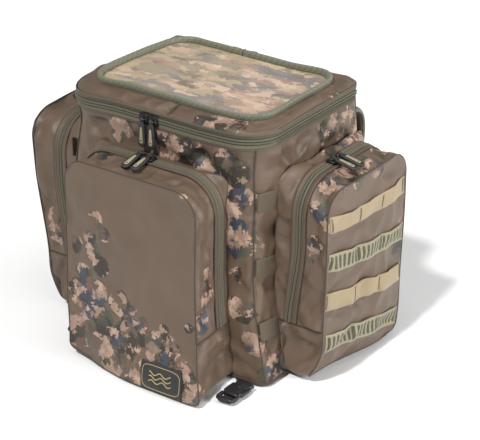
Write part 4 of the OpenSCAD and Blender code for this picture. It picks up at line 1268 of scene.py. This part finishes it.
def ring_solid(name, radius, thick, flat, place):
    """A torus round the X axis, thick across the ring and flat times that along X."""
    a, b = np.meshgrid(np.linspace(0, 2 * np.pi, 28, endpoint=False),
                       np.linspace(0, 2 * np.pi, 10, endpoint=False), indexing="ij")
    r = radius + thick * np.cos(b)
    p = np.stack([thick * flat * np.sin(b), r * np.cos(a), r * np.sin(a)], axis=-1)
    return turn_outward(surface(name, place(p), (True, True)))


PULL_LONG = 37.5
BAR = 8.5                                  # height over the tape of the bar that the pull's ring goes round
neck = np.linspace(0, 1, 9)
PULL_SHAPE = ([(-2.2, 2.4, 1.4, 0), (-2.6, 2.8, 1.9, 0)] +
              [(-3.2 - 3.4 * t, 3.0 + 1.2 * t * t, 2.0, 0) for t in neck] +
              [(-6.8 - 23.4 * t, 4.3 + 1.6 * t**0.8, 2.1, 0) for t in neck] +
              [(-PULL_LONG + 5.8 - 5.6 * math.sin(q), 5.9 * max(0.2, math.cos(q)), 2.1 *
                max(0.45, math.cos(q) ** 0.4), 0) for q in np.linspace(0.15, 1.5, 8)])


def insert_plate(name, place, top):
    """The insert: a plate inside the tab's outline, with ribs 0.35 mm high every 2.6 mm, and a dished hole
    near its round end."""
    s = np.linspace(0, 1, 90)[:, None]
    t = np.linspace(-1, 1, 22)[None]
    y = -9.5 - 23.0 * s
    wide = (1.5 + 1.7 * s**0.8) * np.sqrt(np.clip(1 - np.clip((s - 0.86) / 0.14, 0, 1) ** 2, 0.0,
                                                  1)) * np.sqrt(np.clip(1 - np.clip((0.06 - s) / 0.06, 0,
            1) ** 2, 0.05, 1))
    x = wide * t
    edge = np.clip((1 - np.abs(t)) * 5, 0, 1) * np.clip(s * 20, 0, 1) * np.clip((1 - s) * 20, 0, 1)
    rib = 0.32 * (np.cos(2 * np.pi * y / 2.6) * 0.5 + 0.5) * (s < 0.70)
    hole = np.hypot(x, y + 28.4)
    dish = -1.1 * (1 - smooth(hole, 1.0, 1.5)) + 0.25 * np.exp(-((hole - 1.9) ** 2) / 0.12)
    z = top * (1.75 + 0.55 * edge + (rib + dish) * edge)
    return surface(name, place(np.stack([x, y + 0 * x, z + 0 * x], axis=-1)),
                   inner=place(np.array([[0.0, -20.0, 0.0]]))[0])


def slider_and_pull(word, i, at, spin, tip):
    """at is the point of the zip, spin turns the zip's own axes into the bag's, tip tilts a lying pull."""
    def body_place(p):
        return at + p @ spin.T

    c, s = math.cos(tip), math.sin(tip)
    tilt = np.array([[1, 0, 0], [0, c, -s], [0, s, c]])

    def pull_place(p):
        return at + (p @ tilt.T + np.array([0, 0, BAR])) @ spin.T

    name = f"{word}_slider_{i}"
    top = slab(f"{name}_shell", [(-7.0, 5.0, 0.7, 4.3), (-6.4, 6.2, 1.1, 4.4), (-3.6, 6.9, 1.5, 4.7),
                                 (0, 7.1, 1.8, 5.0), (3.6, 6.9, 1.5, 4.7), (6.4, 6.2, 1.1, 4.4),
                                 (7.0, 5.0, 0.7, 4.3)], body_place)
    fit_out(top, name, "zip_metal", slider_enamel, replaces=(name,))
    arc = np.linspace(0, np.pi, 22)
    bridge = np.stack([4.4 * np.cos(arc), 0 * arc, 4.4 + 4.4 * np.sin(arc) ** 0.7], axis=1)
    fit_out(tube(f"{name}_bridge", body_place(bridge), spin[:, 1], 1.5), name, "zip_metal", slider_enamel)
    pull = f"{word}_pull_{i}"
    fit_out(ring_solid(f"{pull}_ring", 2.1, 0.95, 1.9, pull_place), pull, "pull_rubber", pull_rubber,
            replaces=(pull,))
    fit_out(slab(f"{pull}_tab", PULL_SHAPE, pull_place), pull, "pull_rubber", pull_rubber)
    for face, up in (("front", 1), ("back", -1)):
        fit_out(insert_plate(f"{pull}_{face}_insert", pull_place, up), pull, "pull_rubber", insert_gold)


lid_turn = np.array([[1.0, 0, 0], [0, 0, -1], [0, 1, 0]])
flat_turn = np.eye(3)
right_turn = np.array([[0.0, -1, 0], [1, 0, 0], [0, 0, 1]])
left_turn = np.array([[0.0, 1, 0], [-1, 0, 0], [0, 0, 1]])


def middle_of(node, axis):
    low, high = node_box(node)
    return (low[axis] + high[axis]) / 2


DROOP = math.radians(10.0)
for i in (1, 2):
    slider_and_pull("lid", i, np.array([middle_of(f"lid_slider_{i}", 0) + 8, -BODY_FRONT, ZIP_Z]), lid_turn,
                    0.0)
    slider_and_pull("front", i, np.array([middle_of(f"front_slider_{i}", 0), -BODY_FRONT -
                                          front_pocket.zip_off, front_pocket.high]), flat_turn, DROOP)
    slider_and_pull("right", i, np.array([BODY_HALF + SIDE_ZIP, middle_of(f"right_slider_{i}", 1), SIDE_TOP]),
                    right_turn, DROOP)
    slider_and_pull("left", i, np.array([-BODY_HALF - SIDE_ZIP, middle_of(f"left_slider_{i}", 1), SIDE_TOP]),
                    left_turn, DROOP)

# ---------------------------------------------------------------- Back padding
# A panel of spacer mesh over thin foam, bound round its edge, with two tall foam pads under the same mesh on
# each side of the spine. The pads are filled by simulation; the bound panel's shape is given.


def spacer_mesh(name, low, high):
    """Knitted spacer mesh: round cells 3 mm apart that sink between their threads and are darker where they
    sink.
    """
    paint = Paint(name, {"Specular IOR Level": 0.3, "Sheen Weight": 0.2, "Sheen Roughness": 0.5})
    here = paint.place()
    cell = paint.node("ShaderNodeTexVoronoi", {"feature": "F1"},
                      {"Vector": here, "Scale": 330.0, "Randomness": 0.15})
    hole = paint.over(cell, 0.30, 4.0)
    dust = paint.noise(here, 24.0, 3.0)
    shade = paint.mix(hole, low, high)
    paint.feed("Base Color", paint.mix(0.3 * dust, shade, toned(high, 1.5)))
    paint.feed("Roughness", 0.66 + 0.2 * dust)
    paint.bump(hole, 0.0006, 0.6)
    return paint.material


pad_mesh = spacer_mesh("pad_mesh", (0.012, 0.012, 0.011), (0.050, 0.046, 0.040))
pad_low, pad_high = node_box("back_pad")
BACK = -body_low[1]


def padded_sheet(name, x_mid, z_mid, half, tall, radius, base, thick):
    """A closed pad standing on the back wall: each ring runs inward on a rounded rectangle while its lift
    follows sqrt(1 - t^4); the far face lies flat on the wall."""
    out = np.concatenate([np.linspace(0.0, 1.0, 26), np.linspace(1.0, 0.0, 14)[1:]])
    a, b, _, _ = rounded(half * out, -tall * out, tall * out, radius * out, radius * out, (26, 6, 16))
    height = np.concatenate([np.sqrt(np.clip(1 - np.linspace(0, 1, 26) ** 4, 0, 1)), np.zeros(13)])[:, None]
    y = BACK + base + thick * height + 0 * a
    return surface(name, np.stack([x_mid + a, y, z_mid + b], axis=-1), (False, True),
                   (x_mid, BACK + base + thick * 0.3, z_mid), weld=True)


back_sheet = padded_sheet("back_sheet", 0.0, (pad_low[2] + pad_high[2]) / 2, (pad_high[0] - pad_low[0]) / 2,
                          (pad_high[2] - pad_low[2]) / 2, 20.0, 0.6, 5.4)
fit_out(back_sheet, "bag", "dark_fabric", pad_mesh, replaces=("back_pad",))
back_line, _ = even(rounded((pad_high[0] - pad_low[0]) / 2 - 1.5, pad_low[2] + 1.5, pad_high[2] - 1.5, 19.0,
                            19.0, (60, 10, 60)), 3.0, True)


def on_back(a, b, depth):
    return np.stack([a, BACK + depth, b], axis=-1)


fit_out(tube("back_sheet_binding", on_back(back_line[0], back_line[1], 3.0 + 0 * back_line[0])[0],
             np.array([0.0, 1.0, 0.0]), 2.6, True), "bag", "dark_fabric", dark_binding)


PAD_CELL = 5.0                             # mesh size of a pad before it is filled, in millimetres


def fill(piece, pressure, cap):
    """Fills a closed pad as a foam is stuffed: its mesh is remade at an even size, swells under pressure as
    cloth, and no point may move further than cap millimetres."""
    bpy.context.view_layer.objects.active = piece
    even_mesh = piece.modifiers.new("even", "REMESH")
    even_mesh.mode, even_mesh.voxel_size = "VOXEL", PAD_CELL * MM
    settle(piece)
    start = np.array([v.co for v in piece.data.vertices])
    cloth_fill = piece.modifiers.new("fill", "CLOTH")
    cloth_fill.settings.quality = 5
    cloth_fill.settings.use_pressure = True
    cloth_fill.settings.uniform_pressure_force = pressure
    cloth_fill.settings.tension_stiffness = cloth_fill.settings.compression_stiffness = 12.0
    cloth_fill.settings.effector_weights.gravity = 0.0
    cloth_fill.point_cache.frame_start, cloth_fill.point_cache.frame_end = 1, 20
    for step in range(1, 21):
        scene.frame_set(step)
    settle(piece)
    scene.frame_set(1)
    end = np.array([v.co for v in piece.data.vertices])
    move = end - start
    length = np.linalg.norm(move, axis=1, keepdims=True)
    move *= np.minimum(1.0, cap * MM / np.maximum(length, 1e-9))
    return start + move


def settle(piece):
    """Puts what the modifiers give into the piece's own mesh."""
    shaped = bpy.data.meshes.new_from_object(piece.evaluated_get(bpy.context.evaluated_depsgraph_get()))
    piece.modifiers.clear()
    old, piece.data = piece.data, shaped
    name = old.name
    bpy.data.meshes.remove(old)
    shaped.name = name


def back_column(word, side):
    """One tall pad between the spine and the shoulder strap, with two sewn channels across it. A channel
    lowers the face by 3.6 exp(-(dz / 4)^2)."""
    inner_x, outer_x, z_low, z_high = 12.0, 79.0, 38.0, 246.0
    x_mid, z_mid = side * (inner_x + outer_x) / 2, (z_low + z_high) / 2
    pad = padded_sheet(f"{word}_back_column", x_mid, z_mid, (outer_x - inner_x) / 2 - 1, (z_high - z_low) /
                       2 - 1, 14.0, 4.6, 7.0)
    shape = fill(pad, 3.0, 5.0)
    y = shape[:, 1] / MM
    top = smooth(y, BACK + 6.0, BACK + 9.0)
    for channel in (z_mid - 36, z_mid + 36):
        y -= 3.6 * top * np.exp(-(((shape[:, 2] / MM - channel) / 4.0) ** 2))
    shape[:, 1] = np.clip(y, BACK + 4.2, BACK + 15.0) * MM
    pad.data.vertices.foreach_set("co", shape.astype(np.float32).ravel())
    pad.data.polygons.foreach_set("use_smooth", np.ones(len(pad.data.polygons), bool))
    soften = pad.modifiers.new("soften", "SUBSURF")
    soften.levels = soften.render_levels = 1
    fit_out(pad, "bag", "dark_fabric", pad_mesh)


SIDES = (("right", 1), ("left", -1))
for word, side in SIDES:
    back_column(word, side)

# ---------------------------------------------------------------- Shoulder straps
# Each strap is contoured foam between cloth and mesh, bound at its edges, sewn in above the back padding
# and bowed away from it. A ladder lock at its lower end takes webbing from the bag's foot.
strap_low, strap_high = node_box("right_shoulder_strap")
STRAP_X, STRAP_HALF = (strap_low[0] + strap_high[0]) / 2, (strap_high[0] - strap_low[0]) / 2
lock_low, lock_high = node_box("right_ladder_lock")
root = np.array([pad_high[1] - 6.0, strap_high[2] - 6.0])
tip = np.array([(lock_low[1] + lock_high[1]) / 2, lock_high[2]])
HANDLES = (root, root + [80.0, 0.0], tip + [0.0, 90.0], tip)


def strap_line(t):
    """The strap's middle line in the plane of Y and Z: a cubic curve on HANDLES, and its direction."""
    t = t[:, None]
    a = 1 - t
    p = a**3 * HANDLES[0] + 3 * a * a * t * HANDLES[1] + 3 * a * t * t * HANDLES[2] + t**3 * HANDLES[3]
    d = a * a * (HANDLES[1] - HANDLES[0]) + 2 * a * t * (HANDLES[2] - HANDLES[1]) + t * t * (HANDLES[3] -
            HANDLES[2])
    return p, d / np.linalg.norm(d, axis=1, keepdims=True)


def shoulder_strap(word, side):
    """The strap's section is a superellipse of power 4 across X, 12 mm thick, narrower towards its lower end;
    two sewn lines along it press the foam in."""
    t = np.concatenate([[0.0], np.linspace(0.0, 1.0, 90), [1.0]])
    p, d = strap_line(t)
    normal = np.stack([-d[:, 1], d[:, 0]], axis=1)
    half = STRAP_HALF - 1.0 - 9.0 * smooth(t, 0.62, 1.0) - 3.0 * np.sin(np.pi * t)
    shrink = np.ones(len(t))
    shrink[[0, -1]] = 0.0
    turn = np.linspace(0, 2 * np.pi, 64, endpoint=False)
    c, s = np.cos(turn), np.sin(turn)
    x = half[:, None] * shrink[:, None] * (np.sign(c) * np.abs(c) ** 0.5)[None]
    thick = (np.sign(s) * np.abs(s) ** 0.5)[None] * (5.6 * shrink *
                                                     (0.55 + 0.45 * np.sin(np.pi *
            np.clip(t * 0.94 + 0.03, 0, 1)) ** 0.35))[:, None]
    press = 1 - 0.42 * np.exp(-(((np.abs(x) - half[:, None] * 0.62) / 2.2) ** 2))
    y = p[:, :1] + normal[:, :1] * thick * press
    z = p[:, 1:] + normal[:, 1:] * thick * press
    pts = np.stack([side * STRAP_X + x, y, z], axis=-1)
    wave = 0.5 * ripple(pts, 40.0, 51) * shrink[:, None]
    pts[..., 1] += wave * normal[:, :1]
    inner = (side * STRAP_X, float(p[45, 0]), float(p[45, 1]))
    piece = surface(f"{word}_shoulder_strap_pad", pts, (False, True), inner, weld=True)
    fit_out(piece, "bag", "brown_fabric", brown_cloth, replaces=(f"{word}_shoulder_strap",))
    for edge in (-1, 1):
        line = np.stack([side * STRAP_X + edge * half[1:-1], p[1:-1, 0], p[1:-1, 1]], axis=1)
        fit_out(tube(f"{word}_strap_binding_{'inner' if edge < 0 else 'outer'}", line,
                     np.stack([0 * t[1:-1], normal[1:-1, 0], normal[1:-1, 1]], axis=1), 2.4), "bag",
                "brown_fabric", rim_binding)
    web_t = np.linspace(0.10, 0.93, 80)
    q, e = strap_line(web_t)
    n = np.stack([-e[:, 1], e[:, 0]], axis=1)
    x = np.linspace(-10.0, 10.0, 12)[None]
    rise = (5.6 * (0.55 + 0.45 * np.sin(np.pi * (web_t * 0.94 + 0.03)) ** 0.35) + 1.3)[:, None]
    top = np.stack([side * STRAP_X + x + 0 * rise, q[:, :1] + n[:, :1] * rise + 0 * x, q[:, 1:] + n[:, 1:] *
                    rise + 0 * x], axis=-1)
    fit_out(thicken(surface(f"{word}_strap_webbing", top, inner=inner), 1.4), "bag", "tan_webbing",
            tan_webbing)


for word, side in SIDES:
    shoulder_strap(word, side)

black_webbing = ribbed_cloth("black_webbing", (0.030, 0.030, 0.031), (0.011, 0.011, 0.012), 0.0016, 0.55)


def lower_webbing(word, side):
    """Webbing that follows the solid's middle line from the ladder lock to the padding's foot."""
    web_low, web_high = node_box(f"{word}_lower_webbing")
    line = np.array([[web_high[1] - 0.9, web_high[2] - 0.5], [web_high[1] - 1.0, web_high[2] - 6],
                     [web_low[1] + 5, 42.0], [web_low[1] + 0.9, web_low[2] + 11],
                     [web_low[1] + 0.8, web_low[2] + 0.4]])
    s = np.linspace(0, 1, 50)
    k = np.linspace(0, 1, len(line))
    y, z = np.interp(s, k, line[:, 0]), np.interp(s, k, line[:, 1])
    x = np.linspace(-12.3, 12.3, 12)[None]
    p = np.stack([side * STRAP_X + x + 0 * y[:, None], y[:, None] + 0 * x, z[:, None] + 0 * x], axis=-1)
    strip = surface(f"{word}_foot_strap_webbing", p, inner=(side * STRAP_X, 100, 40))
    fit_out(thicken(strip, 1.4), "bag", "black_webbing", black_webbing, replaces=(f"{word}_lower_webbing",))


for word, side in SIDES:
    lower_webbing(word, side)

# ---------------------------------------------------------------- Grab handle
# Two webbing legs sewn over the back padding carry a grip of foam in black cloth.
grip_low, grip_high = node_box("grab_handle")
GRIP_R = 8.0
GRIP_Y, GRIP_Z = grip_high[1] - GRIP_R, grip_low[2] + GRIP_R


def grip():
    """A closed tube along X whose radius swells by 1.2 mm in its middle and closes over rounded ends, with
    a lengthwise seam."""
    t = np.linspace(-1, 1, 60)
    r = GRIP_R * (1 - np.abs(t) ** 14) ** 0.5 * (0.86 + 0.14 * (1 - t * t))
    turn = np.linspace(0, 2 * np.pi, 40, endpoint=False)
    seam = 1 - 0.10 * np.exp(-((np.angle(np.exp(1j * (turn + 1.2))) / 0.10) ** 2))
    x = (grip_high[0] - 0.5) * t
    y = GRIP_Y + (r[:, None] * np.cos(turn) * seam)
    z = GRIP_Z + (r[:, None] * np.sin(turn) * seam)
    p = np.stack([x[:, None] + 0 * y, y, z], axis=-1)
    p += (0.25 * ripple(p, 14.0, 61) * (r > 1)[:, None])[..., None] * np.array([0, 0.7, 0.7])
    piece = surface("grip_pad", p, (False, True), (0, GRIP_Y, GRIP_Z), weld=True)
    fit_out(piece, "grab_handle", "black_webbing", black_webbing, replaces=("grab_handle",))


grip()
for word, side in SIDES:
    s = np.linspace(0, 1, 30)[:, None]
    x = np.linspace(-10, 10, 10)[None]
    seam_y, seam_z = BACK + 3.2, grip_high[2] - 0.3
    y = seam_y + (GRIP_Y + 1.0 - seam_y) * s + 0 * x
    z = seam_z + (GRIP_Z + 6 - seam_z) * s + 0 * x
    p = np.stack([side * (grip_high[0] - 10.2) + x + 0 * s, y, z], axis=-1)
    leg = surface(f"{word}_handle_leg", p, inner=(0, 110, 300))
    fit_out(thicken(leg, 1.8), "grab_handle", "black_webbing", black_webbing)

# ---------------------------------------------------------------- Base, base straps and buckles
# A base panel of dark coated cloth with a stiffening board over it inside, and two black straps under it that
# end in side-release buckles in front. The panel, the board and the ladder locks keep their own solids.


def base_cloth():
    """Heavy coated cloth with a close grid of raised dots and patchy grime."""
    paint = Paint("base_cloth", {"Specular IOR Level": 0.4})
    here = paint.place()
    dot = paint.node("ShaderNodeTexVoronoi", {}, {"Vector": here, "Scale": 260.0, "Randomness": 0.0})
    grime = paint.noise(here, 20.0, 4.0)
    raised_dot = 1 - paint.over(dot, 0.28, 6.0)
    paint.feed("Base Color", paint.mix(grime, (0.024, 0.021, 0.018), (0.056, 0.048, 0.040)))
    paint.feed("Roughness", 0.5 + 0.25 * grime)
    paint.bump(raised_dot, 0.0004, 0.5)
    return paint.material


def finish_node(node, material):
    """Gives a CAD node its finish and keeps its shape."""
    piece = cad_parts[node]
    piece.data.materials.clear()
    piece.data.materials.append(material)


board = moulded("board_plastic", (0.020, 0.020, 0.021), (0.045, 0.045, 0.046), 0.5)
finish_node("base_panel", base_cloth())
finish_node("base_board", board)
for word, _ in SIDES:
    finish_node(f"{word}_ladder_lock", black_plastic)
strap_cloth = ribbed_cloth("base_strap_cloth", (0.034, 0.034, 0.035), (0.012, 0.012, 0.013), 0.0016, 0.55)


base_low, base_high = node_box("right_base_strap")


def base_strap(word, x_mid, front):
    """Webbing along the groove under the base and on over the ground to x_mid, where it narrows a little
    and rises into the buckle."""
    groove = math.copysign((base_low[0] + base_high[0]) / 2, x_mid)
    y = np.linspace(base_high[1], front, 70)[:, None]
    x = np.linspace(-12.3, 12.3, 10)[None] * (1 - 0.26 * smooth(-y, 110.0, 122.0))
    x = x + groove + (x_mid - groove) * smooth(-y, 114.0, 130.0)
    z = 1.7 + 3.4 * smooth(-y, 112.0, -front) + 0 * x
    strip = surface(f"{word}_base_webbing", np.stack([x, y + 0 * x, z], axis=-1), inner=(x_mid, 0, -30))
    fit_out(thicken(strip, 1.4), "bag", "black_webbing", strap_cloth, replaces=(f"{word}_base_strap",))


def buckle(word, x_mid, rear, wide, long):
    """A side-release buckle on the ground: a waisted socket with a raised rib, and a tongue with two bowed
    prongs, a nose and a slotted bar that its webbing passes through. All are slabs along Y."""
    def place(p):
        return p + np.array([x_mid, rear, 7.2])

    def solid(part, body, node, sections, shift=0.0):
        piece = slab(f"{word}_buckle_{part}", sections, lambda p: place(p + np.array([shift, 0.0, 0.0])))
        fit_out(piece, body, "black_plastic", black_plastic, replaces=(node,) if part in ("socket", "nose")
                else ())

    half, socket, tongue = wide / 2, f"{word}_buckle_socket", f"{word}_buckle_tongue"
    s = np.linspace(0, 1, 14)
    solid("socket", "bag", socket, [(-0.62 * long * t, half * (0.94 - 0.22 * math.sin(math.pi * t) ** 2),
                                     4.2 - 1.0 * (2 * t - 1) ** 4, 0.0) for t in s])
    solid("rib", "bag", socket, [(-0.62 * long * (0.12 + 0.5 * t), half * 0.34, 4.6, 0.0) for t in s[::3]])
    solid("nose", tongue, tongue, [(-long * (0.60 + 0.12 * t), half * (0.90 - 0.1 * t), 3.6, 0.0)
                                   for t in s[::3]])
    solid("bar", tongue, tongue, [(-long * (0.92 + 0.08 * t), half * (0.98 - 0.1 * t), 3.0, 0.0)
                                  for t in s[::3]])
    for sign in (-1, 1):
        solid(f"post_{sign + 2}", tongue, tongue, [(-long * (0.70 + 0.24 * t), 2.2, 2.8, 0.0)
                                                   for t in s[::3]], sign * (half * 0.98 - 2.2))
        solid(f"prong_{sign + 2}", tongue, tongue, [(-long * (0.18 + 0.44 * t), 2.0 + 0.7 *
                                                     math.sin(math.pi * t), 2.6, 0.0) for t in s[::2]], sign *
              (half * 0.86))


base_strap("right", 142.0, -176.0)
base_strap("left", -122.0, -146.0)
buckle("right", 142.0, -128.0, 28.0, 48.0)
buckle("left", -121.0, -112.5, 26.0, 38.0)
